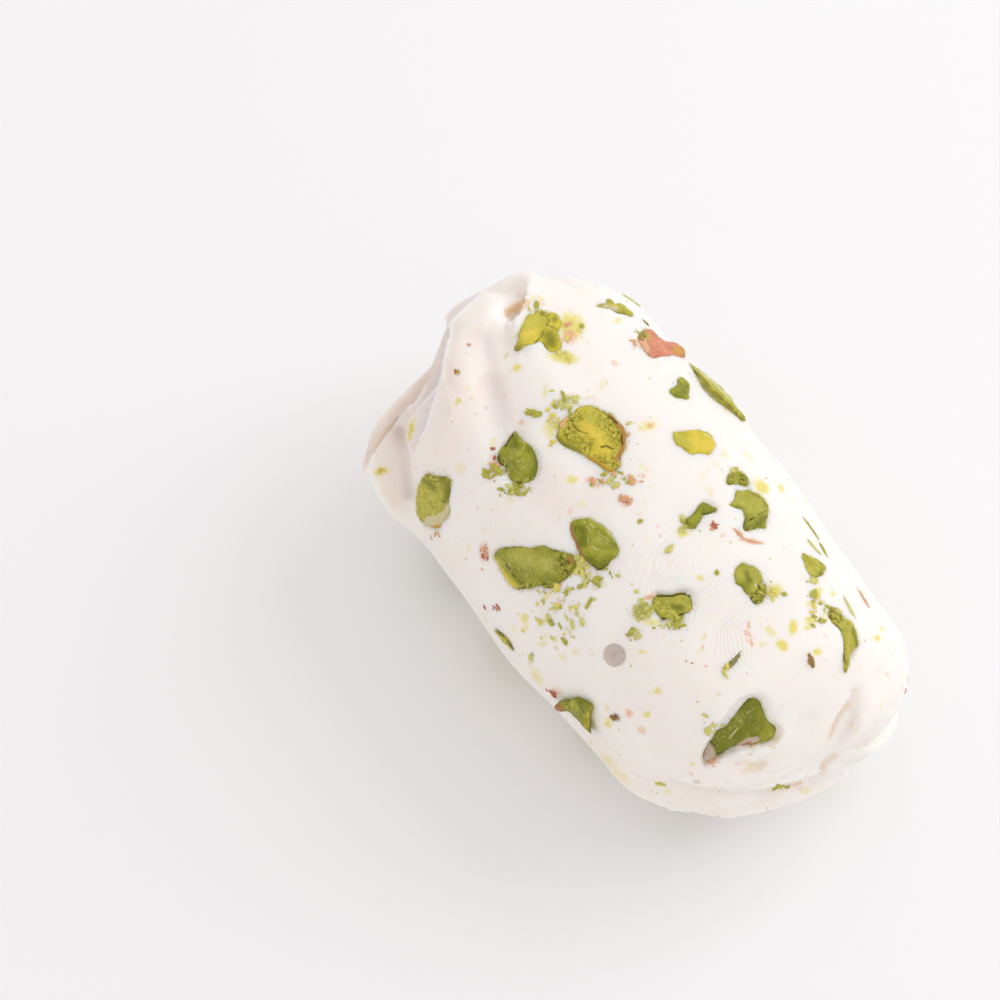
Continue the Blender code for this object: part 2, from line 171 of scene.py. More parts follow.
def normals_of(mesh):
    """Which way the skin faces at every point of a mesh."""
    return vectors_of(mesh.vertices, "normal")


def move_points(mesh, points):
    """Moves every point of a mesh to its new place."""
    mesh.vertices.foreach_set("co", points.ravel())
    mesh.update()


def paint(mesh, name, values):
    """Stores a number, or a colour with its cover, for each point of a mesh, for its material to read."""
    values = np.asarray(values, dtype=np.float32)
    kind, field = ("FLOAT", "value") if values.ndim == 1 else ("FLOAT_COLOR", "color")
    layer = mesh.attributes.get(name) or mesh.attributes.new(name, kind, "POINT")
    layer.data.foreach_set(field, values.ravel())


def ease(share):
    """A share from 0 to 1 that starts and ends gently."""
    share = np.clip(share, 0.0, 1.0)
    return share * share * (3 - 2 * share)


def in_frame(points):
    """Where points stand in the camera's frame."""
    way = points - np.array(eye)
    depth = way @ -np.array(back)
    scale = FRAME_SIDE * LENS / SENSOR
    across = FRAME_MIDDLE + way @ np.array(right) / depth * scale
    down = FRAME_MIDDLE - way @ np.array(up) / depth * scale
    return across, down


nut_names = sorted(name for name in frame["nodes"] if name.startswith("pistachio_"))

body = copy_of("nougat", "nougat_body")
axis_height = cad_high.z / 2
fillers = []
for name in nut_names:
    filler = copy_of(name, "filler")
    points = points_of(filler.data)
    centre = points.mean(0)
    out = np.array([0.0, centre[1], centre[2] - axis_height])
    out /= np.linalg.norm(out)
    height = (points - centre) @ out
    aside = points - centre - np.outer(height, out)
    aside /= np.linalg.norm(aside, axis=1)[:, None] + 1e-9
    deep = np.clip(-height / (1.0 * MM), 0.0, 1.0)
    points += aside * SOCKET_FILL - np.outer(deep * SOCKET_FILL, out)
    move_points(filler.data, points)
    fillers.append(filler)

# Sheets of the folds that stand out past the ends. Each has the depth of the body's points that are nearest
# to its ends, and is twice as thick as given here at its edge and at its root.
SHEET_NEIGHBOURS = 12
SHEET_EDGE = 0.35 * MM
SHEET_ROOT = 1.6 * MM

# For each rib of a sheet, where its edge is in the camera's frame and a place inside the body
SHEETS = [
    [((532, 269), (534, 292)), ((516, 273), (520, 295)), ((500, 279), (506, 300)),
     ((490, 285), (497, 304)), ((480, 292), (488, 308))],
    [((462, 304), (470, 314)), ((453, 313), (463, 323)), ((447, 325), (458, 331)),
     ((442, 338), (455, 342)), ((436, 354), (451, 360)), ((432, 366), (449, 374)),
     ((422, 376), (444, 388)), ((415, 382), (442, 396)), ((402, 394), (426, 412)),
     ((391, 405), (410, 425)), ((380, 416), (398, 434)), ((371, 431), (388, 446)),
     ((366, 449), (382, 459)), ((361, 468), (379, 470)), ((368, 483), (386, 482))],
    [((636, 796), (646, 783)), ((671, 807), (676, 793)), ((707, 816), (708, 799)),
     ((728, 820), (727, 801)), ((760, 815), (755, 799)), ((796, 804), (789, 789)),
     ((831, 787), (823, 774)), ((850, 773), (841, 761))],
]
body_points = points_of(body.data)
body_across, body_down = in_frame(body_points)
body_depth = (body_points - np.array(eye)) @ -np.array(back)


def at_depth(place, depth):
    """The point that is seen at a place in the camera's frame, at a distance in front of the camera."""
    aside = right * (place[0] - FRAME_MIDDLE) - up * (place[1] - FRAME_MIDDLE)
    return eye + (-back + aside * SENSOR / LENS / FRAME_SIDE) * depth


for number, ribs in enumerate(SHEETS):
    sheet_mesh = bpy.data.meshes.new(f"sheet_{number}")
    sheet = bmesh.new()
    sections = []
    depths = []
    for edge, _ in (ribs[0], ribs[-1]):
        near = np.argsort(np.hypot(body_across - edge[0], body_down - edge[1]))[:SHEET_NEIGHBOURS]
        depths.append(float(body_depth[near].mean()))
    for place, (edge, inside) in enumerate(ribs):
        depth = depths[0] + (depths[1] - depths[0]) * place / (len(ribs) - 1)
        corners = [
            at_depth(edge, depth - SHEET_EDGE), at_depth(edge, depth + SHEET_EDGE),
            at_depth(inside, depth + SHEET_ROOT), at_depth(inside, depth - SHEET_ROOT),
        ]
        sections.append([sheet.verts.new(corner) for corner in corners])
    for one, other in zip(sections, sections[1:]):
        for first, second in ((0, 1), (1, 2), (2, 3), (3, 0)):
            sheet.faces.new((one[first], one[second], other[second], other[first]))
    sheet.faces.new(sections[0])
    sheet.faces.new(sections[-1][::-1])
    bmesh.ops.recalc_face_normals(sheet, faces=sheet.faces)
    sheet.to_mesh(sheet_mesh)
    sheet.free()
    fillers.append(put_in_scene(f"sheet_{number}", sheet_mesh))

only(body)
for filler in fillers:
    filler.select_set(True)
bpy.ops.object.join()
finish_with(body, "REMESH", mode="VOXEL", voxel_size=SKIN_STEP)
finish_with(body, "SMOOTH", factor=0.5, iterations=SKIN_PASSES)

# The side was rolled smooth, so it takes many more passes than the folds. It runs between these places in mm.
SIDE_FROM, SIDE_TO = -17.5, 20.0
SIDE_FADE = 3.0
side = body.vertex_groups.new(name="side")
for vert in body.data.vertices:
    x = vert.co.x / MM
    share = min(1.0, max(0.0, min(x - SIDE_FROM, SIDE_TO - x) / SIDE_FADE))
    if share:
        side.add([vert.index], share, "REPLACE")
finish_with(body, "SMOOTH", factor=0.5, iterations=SIDE_PASSES, vertex_group="side")
body.vertex_groups.clear()


def tree_of(mesh):
    """The faces of a mesh, sorted so that the nearest one and the one that a line meets are found fast."""
    polygons = [polygon.vertices for polygon in mesh.polygons]
    return BVHTree.FromPolygons([vert.co for vert in mesh.vertices], polygons)


body_tree = tree_of(body.data)


def seen(across, down):
    """The point and normal of the skin at a place in the camera's frame."""
    at = target + (right * (across - FRAME_MIDDLE) - up * (down - FRAME_MIDDLE)) / FRAME_PER_MM * MM
    point, normal, _, _ = body_tree.ray_cast(eye, (at - eye).normalized())
    return point, normal


def around(x, angle):
    """The point and normal of the skin at a place on the log's length, in mm, and an angle round it."""
    way = Vector((0.0, math.cos(math.radians(angle)), math.sin(math.radians(angle))))
    start = Vector((x * MM, 0.0, axis_height)) + way * 40 * MM
    point, normal, _, _ = body_tree.ray_cast(start, -way)
    return point, normal


def from_line(across, down, places):
    """How far places are from a line in the camera's frame, more than 0 to its left, and how far along it."""
    if len(places) == 1:
        places = [places[0], (places[0][0] + 0.01, places[0][1])]
    nearest = np.full(len(across), 1e9)
    side = np.ones(len(across))
    share = np.zeros(len(across))
    lengths = [math.dist(one, other) for one, other in zip(places, places[1:])]
    done = 0.0
    for (x0, y0), (x1, y1), length in zip(places, places[1:], lengths):
        way_x, way_y = (x1 - x0) / length, (y1 - y0) / length
        gone = np.clip((across - x0) * way_x + (down - y0) * way_y, 0.0, length)
        off_x, off_y = across - x0 - gone * way_x, down - y0 - gone * way_y
        apart = np.hypot(off_x, off_y)
        closer = apart < nearest
        nearest = np.where(closer, apart, nearest)
        side = np.where(closer, np.where(off_x * way_y - off_y * way_x >= 0, 1.0, -1.0), side)
        share = np.where(closer, (done + gone) / sum(lengths), share)
        done += length
    return nearest * side, share


# Strokes of the fingers: places in the camera's frame, half width and height in mm; below 0 is a groove
STROKES = [
    ([(532, 345), (546, 370), (562, 396)], 1.7, 0.42),
    ([(484, 338), (494, 380), (506, 425)], 1.8, -0.95),
    ([(598, 478), (604, 540), (612, 610)], 2.2, -0.16),
    ([(398, 432), (402, 455), (408, 495)], 0.8, -0.70),
    ([(458, 325), (452, 350), (449, 385)], 0.9, -0.28),
    ([(474, 325), (476, 350), (470, 385)], 1.2, 0.22),
    ([(492, 312), (500, 318)], 1.3, 0.35),
    ([(512, 313), (521, 308)], 0.55, -0.9),
    ([(831, 734), (836, 720), (846, 706), (855, 694)], 0.45, -0.35),
    ([(842, 745), (856, 726), (872, 702)], 0.9, 0.22),
    ([(795, 728), (802, 720), (808, 718)], 0.7, -0.25),
    ([(742, 771), (752, 766), (762, 760)], 0.45, -0.25),
    ([(822, 768), (825, 762), (834, 756)], 0.5, -0.30),
    ([(690, 770), (730, 774), (780, 765)], 0.9, 0.22),
]

# Edges of the folded sheets: places in the camera's frame, then in mm how far the skin stands up to the left
# of the line, how far it drops to its right, how far away that ends and how high the lip is along the edge
NECK_EDGE = [
    (479, 295), (470, 303), (462, 311), (454, 318), (449, 325), (449, 334), (446, 346), (443, 360),
    (441, 376), (437, 392), (431, 411), (426, 428), (421, 438),
]
FLAP_EDGE = [
    (425, 386), (420, 395), (415, 403), (408, 407), (401, 416), (394, 428), (387, 436), (379, 447),
    (371, 459),
]
LOW_EDGE = [
    (676, 779), (700, 785), (730, 789), (760, 788), (780, 784), (800, 778), (822, 771),
]
EDGES = [
    (NECK_EDGE, 0.06, 0.42, 1.1, 0.12),
    (FLAP_EDGE, 0.20, 0.22, 1.1, 0.12),
    ([(393, 430), (389, 438), (386, 447), (380, 452)], 0.10, 0.10, 0.5, 0.0),
    ([(417, 440), (419, 450), (420, 465), (419, 482), (412, 500)], 0.16, 0.22, 0.8, 0.06),
    ([(538, 296), (528, 306), (518, 318), (505, 332)], 0.30, 0.30, 0.7, 0.05),
    (LOW_EDGE, 0.30, 1.00, 1.2, 0.10),
    ([(640, 795), (670, 801), (700, 808), (728, 817)], 0.10, 0.15, 1.2, 0.0),
    ([(829, 740), (834, 724), (843, 709), (855, 694)], 0.20, 0.10, 0.8, 0.04),
]


def stroke_lift(points, places, width, height):
    """How far a stroke along the skin lifts each point, in metres."""
    ends = [seen(*place)[0] for place in places]
    nearest = np.full(len(points), 1.0)
    for one, other in zip(ends, ends[1:]):
        one, other = np.array(one), np.array(other)
        along = other - one
        share = np.clip(((points - one) @ along) / (along @ along), 0.0, 1.0)
        nearest = np.minimum(nearest, np.linalg.norm(points - one - np.outer(share, along), axis=1))
    return height * MM * np.exp(-((nearest / (width * MM)) ** 2))


def squareness(points, normals):
    """The cosine of the angle between the skin's normal and the way to the camera."""
    way = np.array(eye) - points
    return (way * normals).sum(1) / np.linalg.norm(way, axis=1)


def refine(chosen):
    """Cuts each chosen face of the body into four."""
    whole = bmesh.new()
    whole.from_mesh(body.data)
    whole.faces.ensure_lookup_table()
    edges = {edge.index: edge for number in np.nonzero(chosen)[0] for edge in whole.faces[number].edges}
    in_order = [edges[number] for number in sorted(edges)]
    bmesh.ops.subdivide_edges(whole, edges=in_order, cuts=1, use_grid_fill=True)
    whole.to_mesh(body.data)
    whole.free()


# Widths across an edge of a sheet, in the camera's frame: its step, its lip and the band that is smoothed
STEP_WIDTH = 1.3
LIP_WIDTH = 1.2
BAND_WIDTH = 9

# The mesh is made finer along every edge of a sheet, so that it is crisp
for half_band in (4.0, 2.0):
    centres = vectors_of(body.data.polygons, "center")
    normals = vectors_of(body.data.polygons, "normal")
    across, down = in_frame(centres)
    fine = np.zeros(len(centres), dtype=bool)
    for places, _, _, _, _ in EDGES:
        fine |= np.abs(from_line(across, down, places)[0]) < half_band
    refine(fine & (squareness(centres, normals) > 0.15))

points = points_of(body.data)
lift = np.zeros(len(points))
along_edge = np.zeros(len(points), dtype=bool)
for places, width, height in STROKES:
    lift += stroke_lift(points, places, width, height)
across, down = in_frame(points)
facing_camera = ease((squareness(points, normals_of(body.data)) - 0.12) / 0.35)
for places, rise, drop, reach, lip in EDGES:
    apart, share = from_line(across, down, places)
    along_edge |= (np.abs(apart) < BAND_WIDTH) & (facing_camera < 0.9) & (facing_camera > 0)
    step = ease(apart / STEP_WIDTH + 0.5)
    raised = lip * np.exp(-((apart / LIP_WIDTH - 0.4) ** 2))
    lift += raised * ease(share / 0.1) * ease((1 - share) / 0.1) * facing_camera * MM
    fade = np.exp(-np.abs(apart) / (reach * FRAME_PER_MM)) * ease(share / 0.15) * ease((1 - share) / 0.15)
    lift += (rise * step - drop * (1 - step)) * fade * facing_camera * MM

# The whole skin waves a little, by about 0.2 mm over 6 mm
for number, point in enumerate(points / MM):
    lift[number] += noise.noise(Vector(point) * 0.16) * 0.22 * MM
near_floor = ease(points[:, 2] / (2.0 * MM))
points += normals_of(body.data) * (lift * near_floor)[:, None]
points[:, 2] = np.maximum(points[:, 2], 0.0)
move_points(body.data, points)

# Where the skin turns away from the camera, the drawn edges are smoothed
edge_band = body.vertex_groups.new(name="edge_band")
edge_band.add(np.nonzero(along_edge)[0].tolist(), 1.0, "REPLACE")
finish_with(body, "SMOOTH", factor=0.5, iterations=4, vertex_group="edge_band")
body.vertex_groups.clear()
body_tree = tree_of(body.data)


# --- Pistachios ---
# Shelled pistachio kernels, cut across when the log was cut and kneaded: a dry green face with paler, crumbly
# broken edges, and in places the thin reddish skin of the kernel still on.
NUT_STEP = 0.075 * MM
HIDDEN_STEP = 0.12 * MM
NUT_GROWTH = 0.16 * MM
WAYS = 48
NOISE_SEED = 11

# Noise vectors are drawn from this seed, so that every run gives the same kernels
noise.seed_set(NOISE_SEED)

# A kernel's face is what lies within this of its highest point. Its rim, which is what its outline shows, is
# at the second depth.
FACE_DEPTH = 1.2 * MM
RIM_DROP = 0.55 * MM

# The outline of each nut that shows on the near side: places in the camera's frame
OUTLINES = {
    "crown": [
        (528, 316), (524, 322), (519, 331), (516, 338), (517, 343), (521, 346), (531, 346), (536, 343),
        (541, 342), (545, 345), (549, 349), (554, 350), (560, 348), (562, 343), (560, 337), (558, 331),
        (560, 327), (561, 322), (559, 316), (556, 313), (551, 313), (547, 315), (545, 311), (537, 311),
        (535, 316),
    ],
    "kite": [
        (515, 431), (519, 437), (523, 441), (529, 443), (533, 447), (537, 455), (539, 465), (538, 474),
        (534, 481), (528, 484), (522, 487), (516, 484), (510, 480), (507, 474), (504, 468), (499, 463),
        (497, 457), (499, 453), (504, 446), (508, 440), (512, 434),
    ],
    "crumb_edge": [
        (427, 473), (432, 472), (438, 475), (444, 477), (449, 481), (450, 488), (449, 496), (450, 503),
        (452, 510), (449, 519), (443, 524), (441, 529), (433, 530), (424, 527), (417, 522), (413, 516),
        (414, 508), (415, 500), (417, 492), (419, 485), (422, 479),
    ],
    "crumbly": [
        (583, 406), (590, 406), (597, 408), (604, 411), (611, 413), (615, 418), (619, 423), (624, 427),
        (627, 433), (627, 442), (626, 450), (622, 459), (619, 463), (622, 467), (617, 472), (610, 474),
        (604, 471), (600, 466), (592, 462), (584, 457), (577, 453), (568, 449), (560, 444), (555, 438),
        (556, 431), (557, 425), (564, 418), (570, 415), (575, 409),
    ],
    "round": [
        (572, 521), (577, 519), (586, 517), (591, 518), (596, 522), (602, 524), (608, 530), (614, 537),
        (618, 545), (620, 550), (618, 556), (612, 561), (608, 566), (604, 569), (599, 571), (594, 567),
        (589, 563), (584, 558), (579, 551), (575, 543), (572, 535), (570, 528),
    ],
    "slab": [
        (499, 549), (506, 548), (513, 547), (518, 545), (524, 546), (532, 547), (538, 546), (545, 545),
        (549, 548), (556, 552), (562, 552), (568, 554), (572, 559), (575, 564), (574, 572), (569, 577),
        (562, 581), (558, 588), (549, 589), (543, 586), (538, 587), (532, 589), (521, 590), (515, 589),
        (510, 586), (505, 580), (500, 574), (498, 568), (495, 562), (492, 557), (493, 553),
    ],
    "bridge_small": [
        (727, 476), (731, 473), (737, 474), (743, 477), (747, 481), (749, 486), (744, 487), (739, 486),
        (733, 487), (729, 485), (726, 487), (725, 482),
    ],
    "bridge_large": [
        (735, 491), (742, 492), (748, 490), (751, 493), (757, 495), (763, 500), (767, 505), (768, 511),
        (767, 518), (765, 524), (765, 531), (762, 532), (755, 531), (749, 533), (744, 533), (741, 529),
        (744, 524), (744, 518), (741, 512), (736, 509), (727, 507), (731, 503), (734, 497),
    ],
    "bridge_long": [
        (698, 508), (702, 503), (708, 504), (713, 508), (719, 509), (714, 513), (706, 512), (701, 515),
        (702, 519), (697, 524), (695, 530), (688, 531), (683, 526), (684, 521), (690, 518), (694, 514),
    ],
    "chip_yellow": [
        (671, 434), (680, 434), (690, 432), (700, 432), (707, 434), (712, 438), (715, 444), (715, 449),
        (712, 453), (709, 457), (703, 456), (696, 455), (690, 456), (685, 452), (680, 448), (674, 446),
        (672, 440),
    ],
    "blob": [
        (734, 571), (737, 565), (742, 563), (747, 566), (753, 567), (758, 571), (761, 577), (762, 582),
        (759, 586), (766, 588), (766, 593), (765, 600), (762, 604), (757, 607), (752, 604), (748, 597),
        (744, 594), (741, 588), (735, 585), (733, 578),
    ],
    "square": [
        (656, 595), (664, 595), (671, 595), (678, 593), (686, 593), (691, 595), (693, 600), (694, 607),
        (691, 612), (684, 616), (684, 621), (679, 625), (673, 622), (667, 620), (661, 620), (656, 615),
        (653, 609), (651, 603), (653, 598),
    ],
    "arrow": [
        (801, 554), (803, 556), (808, 558), (814, 560), (820, 564), (824, 568), (825, 570), (822, 573),
        (822, 577), (816, 579), (812, 580), (808, 576), (805, 570), (803, 564), (800, 559),
    ],
    "leaf": [
        (826, 613), (831, 608), (836, 611), (841, 614), (845, 618), (850, 621), (852, 628), (855, 636),
        (857, 643), (858, 648), (855, 651), (852, 655), (850, 663), (848, 672), (845, 670), (844, 662),
        (843, 652), (843, 645), (842, 636), (839, 629), (836, 624), (831, 620), (828, 617),
    ],
    "wedge": [
        (755, 695), (759, 698), (762, 703), (765, 710), (767, 716), (770, 721), (774, 725), (778, 727),
        (776, 733), (775, 738), (769, 741), (761, 742), (756, 743), (750, 744), (744, 745), (738, 747),
        (732, 750), (725, 754), (719, 758), (712, 762), (706, 765), (703, 761), (706, 752), (709, 743),
        (713, 737), (714, 731), (720, 730), (726, 726), (732, 719), (738, 712), (744, 705), (750, 699),
    ],
    "left_edge": [
        (557, 703), (562, 700), (568, 699), (572, 699), (575, 697), (580, 699), (584, 703), (588, 705),
        (591, 704), (592, 708), (590, 714), (590, 733), (585, 728), (580, 722), (576, 717), (571, 712),
        (566, 710), (560, 710), (555, 706),
    ],
    "left_sliver": [
        (494, 629), (500, 632), (505, 636), (509, 641), (512, 646), (514, 650), (510, 648), (506, 644),
        (501, 638), (496, 632),
    ],
    "crescent": [
        (593, 307), (600, 305), (605, 305), (612, 307), (618, 306), (624, 308), (630, 312), (634, 316),
        (632, 318), (627, 317), (622, 315), (614, 312), (608, 310), (600, 309),
    ],
    "skinned": [
        (638, 334), (643, 330), (648, 331), (652, 335), (656, 340), (662, 343), (669, 344), (675, 344),
        (681, 347), (686, 350), (687, 355), (681, 357), (673, 357), (665, 358), (657, 357), (653, 358),
        (649, 356), (645, 352), (642, 348), (638, 343), (636, 339),
    ],
    "edge_blade": [
        (686, 362), (691, 366), (700, 370), (705, 374), (712, 380), (720, 388), (730, 397), (735, 404),
        (740, 411), (746, 419), (744, 422), (738, 419), (731, 413), (724, 406), (716, 399), (708, 393),
        (700, 384), (694, 376), (689, 370),
    ],
    "fleck_dark": [
        (676, 382), (680, 379), (685, 383), (688, 387), (687, 393), (688, 400), (685, 402), (680, 400),
        (674, 399), (669, 395), (669, 391), (674, 389), (677, 386),
    ],
}

# What each face shows: a kind of mark, the line or place that it follows in the camera's frame and its half
# width there. A mark lies over the ones before it.
MARKS = {
    "crown": [
        ("light", [(522, 340), (530, 328), (541, 316)], 10.0), ("heart", [(527, 336), (536, 331)], 5.0),
        ("deep", [(551, 336), (552, 343)], 7.0), ("deep", [(555, 319)], 3.0), ("crumb", [(544, 313)], 4.5),
        ("line", [(546, 315), (549, 321), (546, 326), (543, 331), (541, 337)], 1.1),
        ("line", [(548, 325), (553, 328), (558, 331)], 0.9),
        ("crack", [(532, 346), (536, 342), (539, 338)], 0.7), ("peach", [(561, 334), (562, 342)], 1.8),
    ],
    "kite": [
        ("dust", [(507, 462), (521, 467), (512, 454)], 8.0),
        ("deep", [(535, 455), (537, 466), (534, 476)], 3.5), ("crumb", [(503, 462), (508, 476)], 2.5),
        ("deep", [(516, 436), (514, 446)], 4.0), ("crumb", [(520, 483), (532, 481)], 4.0),
        ("pale", [(524, 441), (524, 449)], 0.7), ("crack", [(512, 435), (508, 440), (505, 445)], 1.5),
        ("crack", [(498, 454), (500, 462), (504, 468), (507, 476), (512, 482)], 1.3),
    ],
    "crumb_edge": [
        ("deep", [(440, 478), (447, 485), (446, 497), (443, 505)], 4.5),
        ("crumb", [(430, 479), (436, 484)], 6.0), ("deep", [(425, 482), (432, 487), (434, 492)], 4.5),
        ("light", [(421, 500), (430, 512)], 8.0),
        ("heap", [(419, 490), (431, 499), (424, 510), (438, 511)], 8.0),
        ("beige", [(449, 508), (445, 518), (430, 522)], 5.5), ("skin", [(415, 518), (421, 524)], 3.0),
        ("ochre", [(432, 528), (441, 527)], 2.6), ("line", [(449, 481), (450, 490), (449, 500)], 0.8),
    ],
    "crumbly": [
        ("crumb", [(560, 420), (575, 425), (580, 440)], 14.0),
        ("crumb", [(600, 415), (615, 430), (612, 455)], 12.0), ("crumb", [(590, 460), (612, 468)], 8.0),
        ("peach", [(565, 417), (563, 425)], 3.0), ("heart", [(584, 427), (598, 437), (606, 450)], 8.5),
        ("light", [(589, 411), (593, 418)], 6.5), ("deep", [(560, 440), (569, 446), (579, 451)], 4.2),
        ("ochre", [(590, 457), (597, 462), (612, 471)], 2.2),
        ("skin", [(611, 415), (618, 423), (624, 431), (624, 441), (621, 450), (617, 459)], 2.4),
        ("crack", [(606, 414), (611, 419), (616, 423)], 1.5),
        ("crack", [(601, 447), (607, 446), (613, 449)], 0.8),
        ("crack", [(571, 419), (573, 425), (579, 430)], 0.8), ("crack", [(621, 435), (622, 444)], 1.0),
        ("line", [(578, 430), (588, 434)], 0.8),
    ],
    "round": [
        ("deep", [(588, 560), (597, 567), (607, 565)], 5.5), ("deep", [(582, 530), (583, 545)], 4.0),
        ("pale", [(584, 521), (589, 530), (588, 543)], 0.6),
        ("pale", [(590, 523), (600, 534), (610, 541)], 0.5),
        ("pale", [(604, 528), (612, 537), (616, 545)], 0.5), ("pale", [(592, 546), (597, 550)], 0.7),
        ("dust", [(600, 545)], 9.0), ("crack", [(593, 567), (599, 570), (605, 568)], 1.6),
        ("skin", [(571, 521), (571, 530), (574, 540), (578, 549), (582, 556)], 1.9),
        ("line", [(574, 527), (577, 540), (582, 551)], 0.7),
    ],
    "slab": [
        ("light", [(520, 556), (545, 562)], 12.0), ("dust", [(510, 560), (530, 570), (548, 566)], 13.0),
        ("heart", [(496, 559), (503, 571), (510, 582), (516, 588)], 2.6),
        ("crumb", [(563, 560), (567, 572)], 7.0), ("crumb", [(522, 586), (540, 586), (556, 584)], 3.2),
        ("line", [(497, 551), (503, 558), (510, 568), (517, 579), (521, 586)], 0.6),
        ("crack", [(506, 565), (510, 569)], 1.0), ("crack", [(512, 573), (515, 577)], 1.0),
        ("crack", [(536, 584), (541, 585)], 1.2), ("crack", [(529, 588)], 0.9),
        ("crack", [(553, 587)], 0.9), ("skin", [(570, 558), (572, 562)], 2.0),
    ],
    "bridge_small": [
        ("crumb", [(733, 479), (745, 482)], 5.0), ("light", [(735, 483)], 4.0),
    ],
    "bridge_large": [
        ("light", [(742, 500), (757, 506)], 13.0), ("deep", [(764, 518), (758, 525), (748, 530)], 4.2),
        ("line", [(742, 527), (750, 520), (758, 515), (767, 510)], 0.6),
        ("crack", [(750, 520), (753, 518)], 0.8), ("crumb", [(752, 530), (760, 530)], 2.6),
        ("crack", [(744, 533), (750, 532)], 0.8), ("crack", [(755, 530), (759, 531)], 0.8),
        ("line", [(751, 493), (760, 497), (767, 506)], 0.6),
    ],
    "bridge_long": [
        ("crumb", [(688, 526)], 6.0), ("line", [(698, 508), (702, 503), (708, 504)], 0.6),
    ],
    "chip_yellow": [
        ("light", [(676, 438), (686, 442)], 7.0), ("heart", [(697, 440), (709, 446)], 9.0),
        ("beige", [(688, 455), (700, 456), (707, 457)], 1.5), ("pale", [(704, 434), (712, 438)], 0.8),
        ("ochre", [(710, 433), (713, 437)], 1.4),
    ],
    "blob": [
        ("light", [(739, 575), (757, 573), (755, 590)], 6.5), ("deep", [(746, 573), (750, 580)], 3.0),
        ("crumb", [(755, 598), (762, 593)], 7.0), ("pale", [(745, 581)], 1.2), ("pale", [(750, 596)], 1.4),
        ("pale", [(756, 585)], 1.8), ("crack", [(745, 596), (749, 603)], 0.9),
        ("crack", [(758, 585), (760, 588)], 0.9),
    ],
    "square": [
        ("light", [(668, 602), (684, 601), (688, 610)], 7.0), ("deep", [(674, 606), (682, 608)], 3.5),
        ("heap", [(657, 604), (667, 611), (680, 621)], 4.5), ("light", [(668, 610), (678, 617)], 1.5),
        ("crack", [(656, 596), (664, 596), (671, 596), (678, 594), (687, 594), (692, 600), (693, 608),
            (690, 612), (684, 614), (679, 615)], 0.9),
        ("crack", [(654, 610), (659, 617), (666, 619)], 0.9), ("light", [(680, 596), (689, 598)], 1.6),
    ],
    "arrow": [
        ("line", [(803, 565), (806, 571), (811, 577)], 0.7), ("deep", [(821, 573), (819, 577)], 2.5),
    ],
    "leaf": [
        ("light", [(833, 614), (843, 632), (850, 648), (847, 664)], 9.0),
        ("crumb", [(831, 613), (839, 618)], 4.5), ("crack", [(835, 624), (839, 627)], 0.9),
        ("deep", [(853, 630), (857, 645)], 2.2), ("line", [(844, 655), (846, 666)], 0.9),
        ("line", [(828, 612), (834, 612)], 0.9),
    ],
    "wedge": [
        ("deep", [(720, 742), (745, 722), (756, 703)], 21.0), ("dust", [(722, 735), (748, 712)], 6.0),
        ("light", [(771, 734)], 4.0), ("pale", [(729, 738), (738, 728)], 0.7),
        ("grey_skin", [(705, 745), (709, 754), (704, 764)], 6.0), ("crack", [(710, 742), (715, 746)], 0.8),
        ("crack", [(716, 754), (726, 751), (738, 744)], 0.7),
        ("grey_skin", [(738, 747), (748, 741), (757, 739)], 2.8), ("skin", [(742, 746), (750, 743)], 1.6),
        ("line", [(750, 735), (757, 735), (762, 741)], 0.7),
    ],
    "left_edge": [
        ("skin", [(557, 705), (561, 709)], 2.8), ("crumb", [(565, 703), (572, 708)], 3.5),
        ("light", [(571, 700), (572, 708)], 2.2), ("deep", [(580, 703), (582, 712)], 3.0),
        ("heart", [(588, 714), (588, 726)], 2.0),
    ],
    "edge_blade": [
        ("light", [(690, 366), (712, 385), (745, 421)], 9.0),
        ("pale", [(700, 371), (716, 384), (732, 400)], 1.3),
        ("beige", [(695, 379), (706, 391), (716, 400)], 1.2),
        ("line", [(712, 389), (724, 400), (738, 415)], 0.7),
    ],
    "crescent": [
        ("beige", [(606, 308), (615, 309)], 3.5), ("deep", [(612, 311), (622, 314), (628, 317)], 1.2),
    ],
    "skinned": [
        ("peach", [(636, 341), (644, 350)], 6.5), ("light", [(642, 333), (647, 336)], 4.2),
        ("crack", [(638, 333), (639, 338), (643, 340)], 0.8), ("ochre", [(677, 349), (683, 353)], 3.8),
        ("crumb", [(642, 334)], 4.5), ("beige", [(645, 340), (648, 347), (647, 352)], 0.6),
    ],
}

# The colour of each kind of mark and how much it covers; crumbs and dust have none of their own
MARK_COLOURS = {
    "crack": ("#54471a", 0.9),
    "line": ("#7d7030", 0.7),
    "deep": ("#6e7314", 0.8),
    "light": ("#c2bd54", 0.7),
    "pale": ("#dcdca6", 0.7),
    "heap": ("#dbd560", 0.75),
    "heart": ("#e9cf50", 0.85),
    "ochre": ("#cf9c38", 0.85),
    "beige": ("#dccfae", 0.85),
    "peach": ("#eeb088", 0.85),
    "skin": ("#b06c44", 0.85),
    "grey_skin": ("#d4bdb6", 0.75),
}

# How deep a mark is cut in the face, in mm; below 0 it stands up
MARK_DEPTHS = {"crack": 0.16, "line": 0.06, "heap": -0.10, "skin": -0.10, "peach": -0.10}


def nut_frame(name):
    """A nut's place on the skin: its middle, which way it faces and two directions along the skin."""
    low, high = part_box(name)
    centre = (low + high) / 2
    point, normal, _, _ = body_tree.find_nearest(centre)
    facing = Vector()
    for _, near, _, _ in body_tree.find_nearest_range(point, 2.0 * MM):
        facing += near
    facing.normalize()
    first = (right - facing * right.dot(facing)).normalized()
    return np.array(centre), np.array(facing), np.array(first), np.array(facing.cross(first))


def cells(point):
    """The distance from a point to the nearest of a field of scattered seeds, about one to a unit."""
    return noise.voronoi(point)[0][0]


